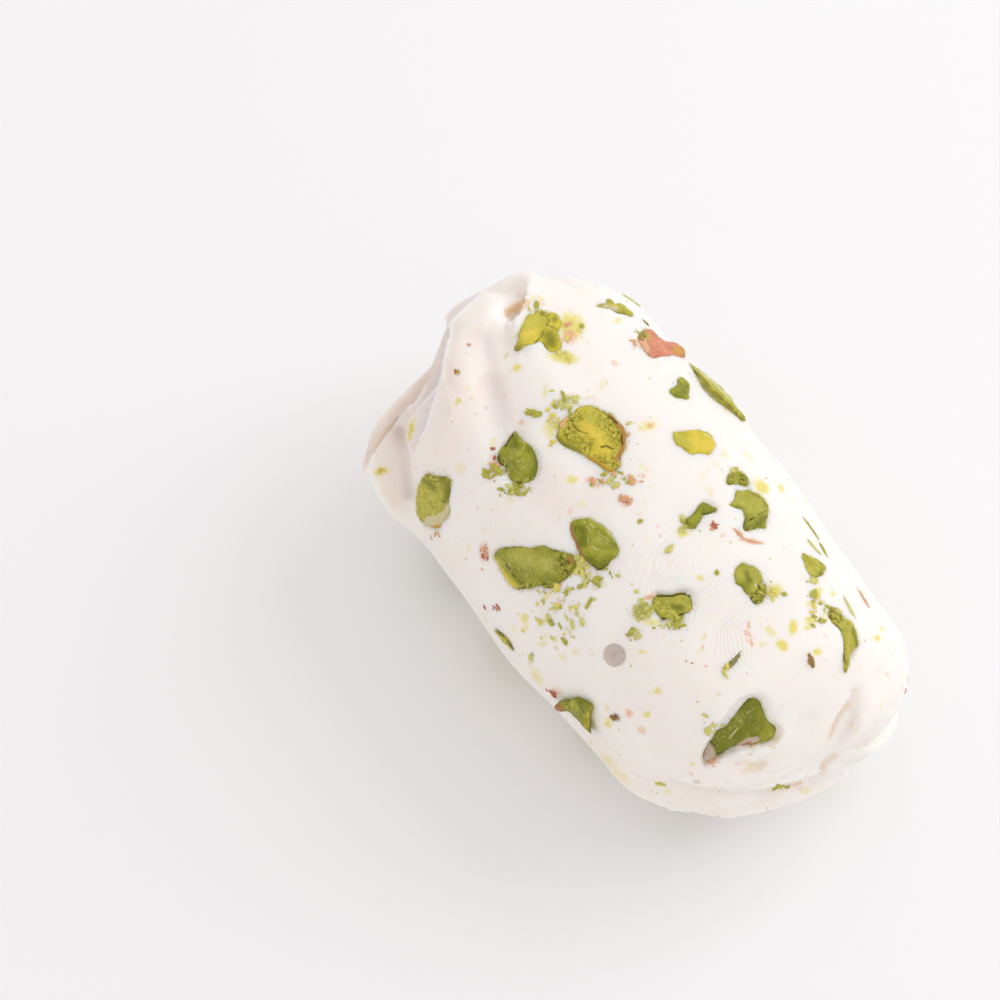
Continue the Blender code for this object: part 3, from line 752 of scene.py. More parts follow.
def reach_of(places, middle):
    """How far an outline in the camera's frame is from a middle, each way round."""
    reach = []
    for number in range(WAYS * 2):
        turn = math.tau * number / (WAYS * 2)
        way_x, way_y = math.cos(turn), math.sin(turn)
        edge = 0.5
        for (x0, y0), (x1, y1) in zip(places, places[1:] + places[:1]):
            x0, y0, x1, y1 = x0 - middle[0], y0 - middle[1], x1 - middle[0], y1 - middle[1]
            side_0, side_1 = x0 * way_y - y0 * way_x, x1 * way_y - y1 * way_x
            if side_0 * side_1 <= 0 and side_0 != side_1:
                part = side_0 / (side_0 - side_1)
                edge = max(edge, (x0 + (x1 - x0) * part) * way_x + (y0 + (y1 - y0) * part) * way_y)
        reach.append(edge)
    return np.array(reach)


def round_value(values, way):
    """A value that is known each way round, at any angles between."""
    slot = (way / math.tau) % 1.0 * len(values)
    low = np.floor(slot).astype(int)
    part = slot - low
    return values[low % len(values)] * (1 - part) + values[(low + 1) % len(values)] * part


def furthest(values, slot, count):
    """The largest value in each of a number of slots round a middle, 0 in an empty one."""
    largest = np.full(count, -np.inf)
    np.maximum.at(largest, slot, values)
    return np.where(np.isfinite(largest), largest, 0.0)


def fit_outline(points, centre, facing, first, second, places):
    """Moves a kernel's points along the skin until its outline in the camera's frame is the wanted one."""
    corners = np.array(places, dtype=float)
    turned = np.roll(corners, -1, axis=0)
    cross = corners[:, 0] * turned[:, 1] - turned[:, 0] * corners[:, 1]
    middle = ((corners + turned) * cross[:, None]).sum(0) / (3 * cross.sum())
    height = (points - centre) @ facing
    top = height > height.max() - FACE_DEPTH
    turned_away = facing @ np.array(back) < 0.45
    flat = points if turned_away else points - np.outer(height - height.max() + RIM_DROP, facing)
    across, down = in_frame(flat)
    old = np.array([(across[top].min() + across[top].max()) / 2, (down[top].min() + down[top].max()) / 2])
    off_x, off_y = across - old[0], down - old[1]
    apart, way = np.hypot(off_x, off_y), np.arctan2(off_y, off_x)
    ways = WAYS * 2
    slot = np.round((way / math.tau) % 1.0 * ways).astype(int) % ways
    reach = furthest(apart[top], slot[top], ways)
    known = np.nonzero(reach > 0)[0]
    reach = np.interp(np.arange(ways), known, reach[known], period=ways)
    grow = (round_value(reach_of(places, middle), way) + 0.9) / np.maximum(round_value(reach, way), 0.5)
    grow = np.clip(grow, 0.3, 2.5)
    move_x = middle[0] + off_x * grow - across
    move_y = middle[1] + off_y * grow - down
    per_metre = FRAME_PER_MM / MM
    one, other = (right, up) if turned_away else (Vector(first), Vector(second))
    turn = np.array([
        [one.dot(right) * per_metre, other.dot(right) * per_metre],
        [-one.dot(up) * per_metre, -other.dot(up) * per_metre],
    ])
    steps = np.linalg.solve(turn, np.stack([move_x, move_y]))
    points = points + np.outer(steps[0], np.array(one)) + np.outer(steps[1], np.array(other))
    return points + np.array(back) * (0.9 * MM) if turned_away else points


def lay_tint(tint, colour, cover):
    """Lays a colour over the tints of a skin: red, green, blue and cover for each of its points."""
    whole = cover + tint[:, 3] * (1 - cover)
    mixed = np.array(linear(colour)[:3]) * cover[:, None] + tint[:, :3] * (tint[:, 3] * (1 - cover))[:, None]
    tint[:, :3] = mixed / np.maximum(whole, 1e-6)[:, None]
    tint[:, 3] = whole


def make_nut(name):
    """One kernel: the CAD shape with its outline, a rough face, and its cracks, crumbly parts and skin."""
    short = name[len("pistachio_"):]
    hidden = short not in OUTLINES
    nut = copy_of(name, f"kernel_{short}")
    bpy.ops.object.mode_set(mode="EDIT")
    bpy.ops.mesh.select_all(action="SELECT")
    bpy.ops.mesh.normals_make_consistent(inside=False)
    bpy.ops.mesh.subdivide(number_cuts=2)
    bpy.ops.transform.shrink_fatten(value=NUT_GROWTH)
    bpy.ops.object.mode_set(mode="OBJECT")
    finish_with(nut, "REMESH", mode="VOXEL", voxel_size=HIDDEN_STEP if hidden else NUT_STEP)
    finish_with(nut, "SMOOTH", factor=0.5, iterations=3)

    centre, facing, first, second = nut_frame(name)
    points = points_of(nut.data)
    if not hidden:
        points = fit_outline(points, centre, facing, first, second, OUTLINES[short])
        middle = (points.min(0) + points.max(0)) / 2
        centre = centre + (middle - centre) - facing * ((middle - centre) @ facing)
    from_centre = points - centre
    height = from_centre @ facing
    aside = from_centre - np.outer(height, facing)
    across_it, along_it = aside @ first, aside @ second
    radius = np.hypot(across_it, along_it)
    way = np.arctan2(along_it, across_it)
    slot = ((way / math.tau) % 1.0 * WAYS).astype(int)
    top = height.max()
    face = height > top - FACE_DEPTH
    reach = furthest(radius[face], slot[face], WAYS)
    share = radius / np.maximum(reach[slot], 0.2 * MM)

    # The marks in the order that they are listed, each over the ones before it
    across, down = in_frame(points)
    broken = np.zeros(len(points))
    dusty = np.full(len(points), 0.14)
    carved = np.zeros(len(points))
    tint = np.zeros((len(points), 4))
    if hidden:
        broken = ease((np.cos(way - len(short) * 1.7 - centre[0] * 700) * share - 0.15) / 0.5)
    shift = Vector((len(name) * 7.3, centre[0] * 900, 0.0))
    wander = np.array([noise.noise_vector(Vector(point) * 1.6 + shift) for point in points / MM])
    for kind, places, half in MARKS.get(short, []):
        bend = min(2.5, half * 0.5)
        apart = np.abs(from_line(across + wander[:, 0] * bend, down + wander[:, 1] * bend, places)[0])
        held = 1 - ease((apart - half * 0.75) / (half * 0.5))
        if kind in ("heart", "light", "deep", "dust"):
            held = np.exp(-((apart / half) ** 2))
        if kind in ("pale", "line"):
            held = held * ease((wander[:, 2] + 0.30) / 0.25)
        if kind in ("crumb", "heap"):
            broken = np.maximum(broken, held * (1.0 if kind == "crumb" else 0.55))
        elif kind in ("heart", "light", "deep", "beige", "skin", "ochre", "peach"):
            broken *= 1 - held * 0.9
        depth = MARK_DEPTHS.get(kind, 0.0)
        if depth > 0:
            carved = np.maximum(carved, held * depth)
        elif depth < 0:
            carved = np.minimum(carved, held * depth)
        if kind == "dust":
            dusty = np.maximum(dusty, held)
        if kind in MARK_COLOURS:
            colour, cover = MARK_COLOURS[kind]
            lay_tint(tint, colour, held * cover)

    # The face is rough, and where it is broken it is a heap of crumbs
    lift = np.zeros(len(points))
    gap = np.zeros(len(points))
    wear = 0.13 if hidden else 0.06
    spread = np.zeros(len(points))
    for number, point in enumerate(points / MM):
        point = Vector(point) + shift
        spread[number] = noise.noise(point * 1.6) * wear + noise.noise(point * 4.5) * 0.04
        face = noise.noise(point * 0.8) * 0.10 + noise.noise(point * 3.0) * 0.025
        if broken[number] > 0.02:
            bent = point + noise.noise_vector(point * 3.0) * 0.22
            gap[number] = cells(bent * 3.2) * 0.65 + cells(bent * 6.5) * 0.35
            crumbs = 0.26 - gap[number] * 0.62 + noise.fractal(point * 4.0, 0.8, 2.2, 3) * 0.05
            face += broken[number] * crumbs
        lift[number] = face
    on_side = ease((share - 0.55) / 0.4)
    on_top = ease((height - top + 0.9 * MM) / (0.4 * MM))
    points += (aside / (radius[:, None] + 1e-9)) * (spread * on_side * MM)[:, None]
    points += np.outer((lift - carved) * on_top * MM, facing)
    points[:, 2] = np.maximum(points[:, 2], 0.03 * MM)
    move_points(nut.data, points)
    bpy.ops.object.shade_smooth()
    for layer, values in (("rim", share), ("broken", broken), ("gap", gap), ("dusty", dusty), ("tint", tint)):
        paint(nut.data, layer, values)
    return nut, centre, facing, first, second


def linear(code):
    """A hex colour as linear red, green, blue and alpha."""
    parts = [int(code[start:start + 2], 16) / 255 for start in (1, 3, 5)]
    return [c / 12.92 if c <= 0.04045 else ((c + 0.055) / 1.055) ** 2.4 for c in parts] + [1.0]


def add(tree, kind, inputs=None, **settings):
    """Adds a node with its settings. An input takes a value or another node's output."""
    made = tree.nodes.new(kind)
    for key, value in settings.items():
        setattr(made, key, value)
    for socket, value in (inputs or {}).items():
        if isinstance(value, bpy.types.NodeSocket):
            tree.links.new(value, made.inputs[socket])
        else:
            made.inputs[socket].default_value = value
    return made


def new_material(name, settings):
    """A material with its shader's settings, and a place on the piece measured in mm."""
    material = bpy.data.materials.new(name)
    material.use_nodes = True
    tree = material.node_tree
    surface = tree.nodes["Principled BSDF"]
    for socket, value in settings.items():
        surface.inputs[socket].default_value = value
    coordinates = add(tree, "ShaderNodeTexCoord")
    place = add(tree, "ShaderNodeMapping", {0: coordinates.outputs["Object"], 3: (1000, 1000, 1000)})
    return material, tree, surface, place.outputs[0]


def kernel_material(name, dark, light, pale, crumb, gap_shade_colour):
    """Cut pistachio: a dry matt face, softly mottled, with pale specks, crumbly parts and dark cracks."""
    material, tree, surface, place = new_material(name, {
        "Roughness": 0.5, "IOR": 1.47, "Specular IOR Level": 0.25,
        "Subsurface Weight": 0.12, "Subsurface Radius": (1.0, 0.9, 0.3), "Subsurface Scale": 0.0006,
    })
    rim, broken, gap, dusty = (
        add(tree, "ShaderNodeAttribute", attribute_name=layer).outputs["Fac"]
        for layer in ("rim", "broken", "gap", "dusty")
    )
    tint = add(tree, "ShaderNodeAttribute", attribute_name="tint")
    mottle = add(tree, "ShaderNodeTexNoise", {"Vector": place, "Scale": 0.9, "Detail": 4.0})
    ramp = add(tree, "ShaderNodeMapRange", {0: mottle.outputs["Fac"], 1: 0.38, 2: 0.62})
    # The gaps between crumbs are painted in the shade colour
    crumb_ramp = add(tree, "ShaderNodeMapRange", {0: gap, 1: 0.36, 2: 0.66})
    crumb_tone = add(
        tree, "ShaderNodeMix",
        {0: crumb_ramp.outputs[0], 6: linear(crumb), 7: linear(gap_shade_colour)}, data_type="RGBA",
    )
    crumb_share = add(tree, "ShaderNodeMath", {0: broken, 1: 0.8}, operation="MULTIPLY")
    specks = add(tree, "ShaderNodeTexNoise", {"Vector": place, "Scale": 4.5, "Detail": 6.0, "Roughness": 0.8})
    speck_ramp = add(tree, "ShaderNodeMapRange", {0: specks.outputs["Fac"], 1: 0.47, 2: 0.62, 4: 0.8})
    frost = add(tree, "ShaderNodeTexNoise", {"Vector": place, "Scale": 1.4, "Detail": 3.0})
    frost_ramp = add(tree, "ShaderNodeMapRange", {0: frost.outputs["Fac"], 1: 0.40, 2: 0.60, 3: 0.25, 4: 1.0})
    dusty_here = add(tree, "ShaderNodeMath", {0: frost_ramp.outputs[0], 1: dusty}, operation="MULTIPLY")
    speck_share = add(
        tree, "ShaderNodeMath", {0: speck_ramp.outputs[0], 1: dusty_here.outputs[0]}, operation="MULTIPLY",
    )
    # Dark specks of painted shade that stand for small pits
    pits = add(tree, "ShaderNodeTexNoise", {"Vector": place, "Scale": 3.4, "Detail": 5.0, "Roughness": 0.75})
    pit_shade = add(tree, "ShaderNodeMapRange", {0: pits.outputs["Fac"], 1: 0.45, 2: 0.35, 4: 0.55})
    # Painted shade along the edge of the face, where the kernel meets its seat
    edge = add(tree, "ShaderNodeMapRange", {0: rim, 1: 0.90, 2: 0.99, 4: 0.55})

    # Each layer over the ones before it: light mottle, painted marks, crumbs with painted shade in their
    # gaps, specks, dark specks of painted shade that stand for pits, and painted shade along the rim of the
    # face
    colour = linear(dark)
    for share, over in (
        (ramp.outputs[0], linear(light)),
        (tint.outputs["Alpha"], tint.outputs["Color"]),
        (crumb_share.outputs[0], crumb_tone.outputs[2]),
        (speck_share.outputs[0], linear(pale)),
        (pit_shade.outputs[0], linear(gap_shade_colour)),
        (edge.outputs[0], linear("#6a6a1c")),
    ):
        colour = add(tree, "ShaderNodeMix", {0: share, 6: colour, 7: over}, data_type="RGBA").outputs[2]
    tree.links.new(colour, surface.inputs["Base Color"])
    rough = add(tree, "ShaderNodeTexNoise", {"Vector": place, "Scale": 4.0, "Detail": 5.0, "Roughness": 0.7})
    bump = add(
        tree, "ShaderNodeBump",
        {"Strength": 0.6, "Distance": 0.00014, "Height": rough.outputs["Fac"]},
    )
    tree.links.new(bump.outputs[0], surface.inputs["Normal"])
    return material


# Dark kernels are the full green of a fresh kernel, light ones are cut thin or dry, and yellow ones are the
# heart. For each slot: its material's name, its dark, light, pale and crumb colours, and its painted shade
# colour.
KERNEL_LOOKS = {
    "pistachio_green": ("pistachio_kernel_green", "#80861a", "#a9aa38", "#d6d590", "#c9c65c", "#77731f"),
    "pistachio_pale_green": ("pistachio_kernel_light", "#a9a739", "#cec656", "#dedb9a", "#d4cc62", "#857f2a"),
    "pistachio_yellow": ("pistachio_kernel_yellow", "#beb52a", "#dfce40", "#ebe28c", "#dad060", "#9c9433"),
    "pistachio_skin": ("pistachio_kernel_in_skin", "#cf8062", "#e39878", "#eec2a6", "#b9b052", "#7d7330"),
}
kernel_looks = {slot: kernel_material(*look) for slot, look in KERNEL_LOOKS.items()}
slots = {part["node"]: part["material_slot"] for part in frame["record"]["subparts"]}

seats = []
for name in nut_names:
    nut, centre, facing, first, second = make_nut(name)
    nut.data.materials.append(kernel_looks[slots[name]])
    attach(nut, "root")
    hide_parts(name)
    seats.append((nut, centre, facing, first, second))


# --- Seats and bubbles in the nougat ---
# Each kernel lies in a seat that its own outline pressed, with a hair-wide groove round it. Air bubbles that
# burst at the skin leave round pits with a clean edge.
SEAT_EDGE = 0.06 * MM
SEAT_SLOPE = 0.28 * MM
SEAT_DEPTH = 0.10 * MM
SEAT_FLOOR = 0.4 * MM
EDGE_DEPTH = 1.3 * MM
NUT_REACH = 8 * MM
FINE_BAND = 0.36 * MM


def outline_of(seat):
    """How far a kernel's outline is from its middle each way round, and how high its edge stands there."""
    nut, centre, facing, first, second = seat
    points = points_of(nut.data) - centre
    height = points @ facing
    across, along = points @ first, points @ second
    radius = np.hypot(across, along)
    slot = ((np.arctan2(along, across) / math.tau) % 1.0 * WAYS).astype(int)
    face = height > height.max() - EDGE_DEPTH
    reach = furthest(radius[face], slot[face], WAYS)
    at_edge = face & (radius > 0.8 * reach[slot])
    return reach, furthest(height[at_edge], slot[at_edge], WAYS)


def past_outline(points, seat, outline):
    """Which points are near a kernel, how far past its outline they are and how high over its edge."""
    _, centre, facing, first, second = seat
    near = np.nonzero(np.linalg.norm(points - centre, axis=1) < NUT_REACH)[0]
    local = points[near] - centre
    across, along = local @ first, local @ second
    slot = (np.arctan2(along, across) / math.tau) % 1.0 * WAYS - 0.5
    low = np.floor(slot).astype(int)
    part = slot - low
    reach, level = (values[low % WAYS] * (1 - part) + values[(low + 1) % WAYS] * part for values in outline)
    height = local @ facing
    near_top = height > -NUT_REACH / 2
    return near[near_top], (np.hypot(across, along) - reach)[near_top], (height - level)[near_top]


outlines = [outline_of(seat) for seat in seats]

# Place of each bubble in the camera's frame and its radius in mm. Its middle is under the skin by a share of
# that, and its edge is a low rim, of this height and half width in mm.
BUBBLES = [(616, 655, 1.18), (617, 717, 0.45), (469, 345, 0.22), (697, 782, 0.3), (801, 789, 0.35)]
BUBBLE_SINK = 0.3
BUBBLE_RIM, RIM_WIDTH = 0.06, 0.14

# The mesh is made finer along every outline, so that the seats are crisp
centres = vectors_of(body.data.polygons, "center")
fine = np.zeros(len(centres), dtype=bool)
for seat, outline in zip(seats, outlines):
    near, past, _ = past_outline(centres, seat, outline)
    fine[near[np.abs(past) < FINE_BAND]] = True
for place_across, place_down, radius in BUBBLES:
    apart = np.linalg.norm(centres - np.array(seen(place_across, place_down)[0]), axis=1) / MM
    fine |= np.abs(apart - radius) < 0.35
refine(fine)

# Away from the kernels the far side needs fewer triangles than the near side
points = points_of(body.data)
far = squareness(points, normals_of(body.data)) < -0.05
for seat, outline in zip(seats, outlines):
    near, past, _ = past_outline(points, seat, outline)
    far[near[np.abs(past) < FINE_BAND + SKIN_STEP]] = False
thinned = body.vertex_groups.new(name="thinned")
thinned.add(np.nonzero(far)[0].tolist(), 1.0, "REPLACE")
thin_share = 1 - far.mean() * (1 - FAR_SHARE)
finish_with(body, "DECIMATE", ratio=float(thin_share), vertex_group="thinned")
body.vertex_groups.clear()

points = points_of(body.data)
green_stain = np.zeros(len(points))
for seat, outline in zip(seats, outlines):
    near, past, over = past_outline(points, seat, outline)
    hold = 1 - ease((past - SEAT_EDGE) / SEAT_SLOPE)
    inside = 1 - ease((past + 0.5 * MM) / (0.4 * MM))
    drop = np.maximum(over + SEAT_DEPTH + inside * SEAT_FLOOR, 0.0) * hold
    points[near] -= np.outer(drop, seat[2])
    green_stain[near] = np.maximum(green_stain[near], 0.34 * np.exp(-np.maximum(past, 0) / (0.15 * MM)))
for place_across, place_down, radius in BUBBLES:
    point, normal = seen(place_across, place_down)
    past = np.linalg.norm(points - np.array(point), axis=1) / MM - radius
    points += np.outer(BUBBLE_RIM * MM * np.exp(-((past / RIM_WIDTH) ** 2)), np.array(normal))
move_points(body.data, points)
body_tree = tree_of(body.data)

for place_across, place_down, radius in BUBBLES:
    point, normal = seen(place_across, place_down)
    bpy.ops.object.select_all(action="DESELECT")
    bpy.ops.mesh.primitive_ico_sphere_add(
        subdivisions=4, radius=radius * MM, location=point - normal * BUBBLE_SINK * radius * MM)
    bubble = bpy.context.object
    paint(body.data, "green_stain", green_stain)
    finish_with(body, "BOOLEAN", operation="DIFFERENCE", object=bubble, solver="MANIFOLD")
    bpy.data.objects.remove(bubble)
    green_stain = np.empty(len(body.data.vertices))
    body.data.attributes["green_stain"].data.foreach_get("value", green_stain)
body_tree = tree_of(body.data)


# --- Stains of nut in the skin ---
# The knife and the kneading smeared crumbs and oil of the nuts into the white: yellow-green, yellow and,
# from the kernels' skins, orange-pink.

# Each one: its place in the camera's frame, its length, width and turn there, and its strength
GREEN_STAINS = [
    (535, 310, 18, 9, 20, 0.5), (506, 356, 11, 6, 60, 0.5), (458, 374, 8, 6, 0, 0.5),
    (563, 401, 20, 10, 30, 0.7), (588, 343, 8, 4, -50, 0.5), (632, 300, 17, 4, 8, 0.6),
    (611, 482, 9, 10, 0, 0.6), (622, 478, 11, 5, 0, 0.5), (576, 614, 7, 9, 0, 0.7),
    (573, 607, 8, 4, -20, 0.6), (589, 603, 16, 4, 60, 0.7), (568, 630, 11, 5, -40, 0.7),
    (573, 637, 8, 4, -20, 0.7), (556, 648, 5, 6, 0, 0.6), (531, 658, 20, 6, 78, 0.6),
    (640, 613, 20, 17, 0, 0.9), (631, 634, 15, 8, 40, 0.7), (719, 694, 6, 5, 0, 0.5),
    (670, 643, 7, 4, 0, 0.6), (668, 549, 13, 6, 60, 0.7), (640, 521, 5, 5, 0, 0.7),
    (718, 573, 4, 5, 0, 0.6), (708, 469, 4, 6, 0, 0.6), (766, 478, 5, 4, 0, 0.6), (731, 542, 5, 4, 0, 0.6),
    (717, 573, 4, 5, 0, 0.7), (784, 594, 5, 5, 0, 0.8), (814, 601, 9, 6, 0, 0.7),
    (812, 612, 11, 5, 20, 0.7), (783, 787, 22, 6, 15, 0.7), (640, 777, 9, 4, -30, 0.5),
    (590, 743, 6, 8, 0, 0.5), (520, 490, 26, 12, 10, 0.6), (598, 580, 26, 12, -45, 0.6),
    (684, 527, 14, 10, 40, 0.7), (380, 471, 12, 8, 20, 0.6), (411, 430, 22, 6, 80, 0.5),
    (458, 401, 8, 5, 60, 0.5), (560, 402, 22, 9, 30, 0.6), (834, 613, 14, 8, -40, 0.5),
]
YELLOW_STAINS = [
    (571, 326, 26, 26, 0, 0.8), (563, 357, 28, 13, -10, 0.85), (411, 429, 24, 8, 76, 0.6),
    (381, 471, 15, 10, 20, 0.6), (516, 368, 12, 8, 10, 0.6), (545, 390, 24, 5, 82, 0.4),
    (458, 401, 9, 5, 70, 0.6), (468, 388, 12, 7, 45, 0.3), (572, 480, 11, 9, 0, 0.7),
    (551, 428, 28, 10, 82, 0.55), (648, 426, 22, 10, 10, 0.5), (617, 320, 9, 7, 0, 0.5),
    (525, 618, 10, 10, 0, 0.6), (525, 628, 9, 9, 0, 0.4), (547, 596, 16, 7, 30, 0.45),
    (546, 622, 9, 8, 0, 0.5), (555, 639, 7, 6, 0, 0.6), (543, 644, 11, 5, 10, 0.5),
    (537, 676, 22, 11, -60, 0.4), (647, 714, 7, 7, 0, 0.7), (608, 723, 9, 13, 0, 0.5),
    (658, 691, 9, 7, 40, 0.6), (642, 652, 9, 5, 0, 0.6), (704, 637, 6, 6, 0, 0.5), (639, 513, 5, 5, 0, 0.5),
    (644, 503, 4, 6, 0, 0.5), (700, 578, 11, 6, -30, 0.5), (683, 533, 14, 9, 0, 0.7),
    (762, 487, 17, 11, -50, 0.9), (716, 464, 7, 4, 0, 0.5), (781, 488, 11, 6, -65, 0.6),
    (774, 591, 18, 15, 0, 0.65), (818, 591, 9, 9, 0, 0.6), (809, 604, 7, 7, 0, 0.6),
    (832, 594, 6, 6, 0, 0.6), (811, 620, 9, 9, 0, 0.7), (807, 628, 9, 6, 0, 0.6),
    (793, 627, 16, 7, 85, 1.0), (782, 645, 13, 9, -45, 1.0), (770, 630, 13, 11, 0, 0.45),
    (762, 644, 11, 7, 0, 0.4), (877, 638, 9, 7, 0, 0.6), (882, 629, 6, 7, 0, 0.45),
    (817, 652, 9, 8, 0, 0.8), (660, 784, 10, 4, 0, 0.9), (604, 760, 32, 16, -30, 0.35),
    (618, 775, 42, 14, -35, 0.3), (692, 764, 7, 5, 0, 0.4), (650, 622, 26, 9, -10, 0.5),
    (720, 748, 8, 8, 0, 0.3),
]
PINK_STAINS = [
    (569, 336, 15, 17, 0, 0.8), (541, 303, 15, 8, -30, 0.45), (468, 345, 5, 5, 0, 0.6),
    (493, 464, 25, 8, 100, 0.5), (522, 422, 10, 8, -40, 0.5), (588, 480, 8, 7, 0, 0.6),
    (598, 486, 7, 7, 0, 0.6), (642, 476, 9, 5, 0, 0.6), (590, 398, 22, 7, 0, 0.4), (650, 425, 7, 6, 0, 0.7),
    (614, 363, 9, 6, -10, 0.6), (598, 283, 13, 8, 40, 0.5), (484, 552, 22, 11, 90, 0.6),
    (560, 601, 12, 7, 0, 0.4), (594, 587, 10, 5, 60, 0.5), (629, 713, 11, 8, -40, 0.7),
    (642, 730, 11, 10, 0, 0.5), (650, 597, 15, 7, 20, 0.8), (702, 647, 5, 5, 0, 0.8),
    (663, 636, 5, 4, 0, 0.6), (627, 502, 13, 9, 45, 0.8), (571, 510, 6, 9, 0, 0.5),
    (657, 525, 4, 7, 0, 0.5), (713, 526, 8, 9, 0, 0.8), (739, 533, 12, 7, -60, 0.8),
    (751, 541, 27, 6, -10, 0.8), (723, 536, 7, 6, 0, 0.5), (748, 628, 19, 4, 80, 0.8),
    (751, 641, 17, 4, 100, 0.8), (744, 634, 15, 3, 85, 0.6), (826, 637, 9, 4, -50, 0.6),
    (887, 674, 11, 6, 0, 0.3), (691, 774, 5, 4, 0, 0.6), (737, 764, 9, 4, 0, 0.4), (772, 747, 9, 5, 0, 0.5),
    (798, 784, 13, 6, 20, 0.5), (641, 343, 9, 16, 0, 0.5), (556, 692, 16, 12, 0, 0.5),
    (712, 757, 20, 20, 0, 0.5),
]


points = points_of(body.data)
normals = normals_of(body.data)
across, down = in_frame(points)
faces_camera = ease((squareness(points, normals) - 0.03) / 0.22)


def stained(places):
    """How much of a stain each point of the skin has."""
    stain = np.zeros(len(points))
    for middle_across, middle_down, length, width, turn, strength in places:
        turn = math.radians(turn)
        aside, below = across - middle_across, down - middle_down
        one = (aside * math.cos(turn) - below * math.sin(turn)) / (length / 2)
        other = (aside * math.sin(turn) + below * math.cos(turn)) / (width / 2)
        stain = np.maximum(stain, strength * np.exp(-((one * one + other * other) ** 1.2)))
    return stain * faces_camera


paint(body.data, "green_stain", np.maximum(green_stain, stained(GREEN_STAINS)))
paint(body.data, "yellow_stain", stained(YELLOW_STAINS))
paint(body.data, "pink_stain", stained(PINK_STAINS))

# Painted light and shade of the folds. Tan painted shade where a fold is deep, and grey painted shade where a
# thin sheet lies over a gap or the skin dips into a hollow. A white painted highlight along a lip, and a
# yellow-tan painted reflection along the lower and left edges. Each one: its colour, places in the camera's
# frame, how far it reaches to each side of their line, and how strong it is.
FOLD_LIGHT_AND_SHADE = [
    # Painted shade: tan, deep in the folds and under the low flap
    ("#e6c28c", [(507, 313), (516, 308), (526, 302)], 4.5, 4.5, 0.90),
    ("#e3c597", [(758, 768), (764, 764)], 4.0, 4.0, 0.40),
    ("#e3c597", [(743, 772), (752, 769)], 3.0, 3.0, 0.25),
    ("#e0c49c", [(829, 738), (834, 724), (841, 713), (849, 704)], 3.0, 3.4, 0.45),
    ("#e0c49c", [(822, 770), (825, 763), (835, 756)], 3.4, 3.4, 0.45),
    ("#e3c597", [(768, 790), (782, 788), (796, 781)], 1.0, 5.0, 0.35),
    # Painted reflection of yellow light along the lower and left edges, and tan painted shade in a valley
    ("#e3c597", [(480, 625), (560, 712), (640, 782), (712, 806)], 14.0, 14.0, 0.08),
    ("#e3c597", [(495, 372), (501, 395)], 9.0, 9.0, 0.10),
    ("#e3c597", [(408, 540), (440, 575), (480, 622)], 10.0, 10.0, 0.16),
    ("#e3c597", [(430, 535), (455, 565)], 12.0, 12.0, 0.12),
    # Painted shade: grey under the thin sheets and in the hollows
    ("#e3cfc4", [(448, 390), (436, 460)], 26.0, 26.0, 0.20),
    ("#e3dcdb", NECK_EDGE, 1.0, 17.0, 0.90),
    ("#dccec0", FLAP_EDGE, 1.0, 14.0, 0.75),
    ("#dcd2cc", [(398, 432), (402, 455), (408, 495)], 6.0, 6.0, 0.60),
    ("#ded6d3", [(456, 328), (451, 350), (448, 380)], 6.0, 6.0, 0.45),
    ("#dbd3d0", [(486, 340), (494, 378), (504, 415)], 9.0, 18.0, 0.50),
    ("#e4dcd8", [(545, 480), (565, 502), (590, 500)], 26.0, 26.0, 0.40),
    ("#b99a94", [(708, 752), (706, 762)], 4.5, 4.5, 0.7),
    ("#e2dad2", LOW_EDGE, 1.0, 7.0, 0.35),
    # Painted highlights along the lips of the sheets
    ("#ffffff", NECK_EDGE, 1.3, 0.7, 0.85),
    ("#ffffff", FLAP_EDGE, 1.6, 0.7, 0.80),
    ("#ffffff", LOW_EDGE, 1.5, 0.7, 0.60),
    ("#ffffff", [(505, 322), (496, 316), (500, 310)], 6.0, 6.0, 0.70),
]
painted_fold_light = np.zeros((len(points), 4))
for colour, places, left_reach, right_reach, strength in FOLD_LIGHT_AND_SHADE:
    apart, _ = from_line(across, down, places)
    away = np.abs(apart / np.where(apart > 0, left_reach, right_reach))
    lay_tint(painted_fold_light, colour, strength * np.exp(-away ** 2.5) * ease(faces_camera * 1.5 - 0.5))
# The painted shade, highlights and reflections of the folds are stored as the skin's tint
paint(body.data, "tint", painted_fold_light)

# Whipped nougat: a white matt-satin skin, soft to the light, that turns warm where it is thin. The tan shade
# deep in its folds, the grey shade under its thin sheets, the highlights on their lips and the yellow
# reflection along its lower edge are painted into its colour from the skin's tint.
nougat_look, tree, surface, place = new_material("whipped_nougat", {
    "Roughness": 0.48, "IOR": 1.45, "Specular IOR Level": 0.4,
    "Subsurface Weight": 0.6, "Subsurface Radius": (1.0, 0.62, 0.42), "Subsurface Scale": 0.0016,
})
tone = add(tree, "ShaderNodeTexNoise", {"Vector": place, "Scale": 0.12, "Detail": 2.0})
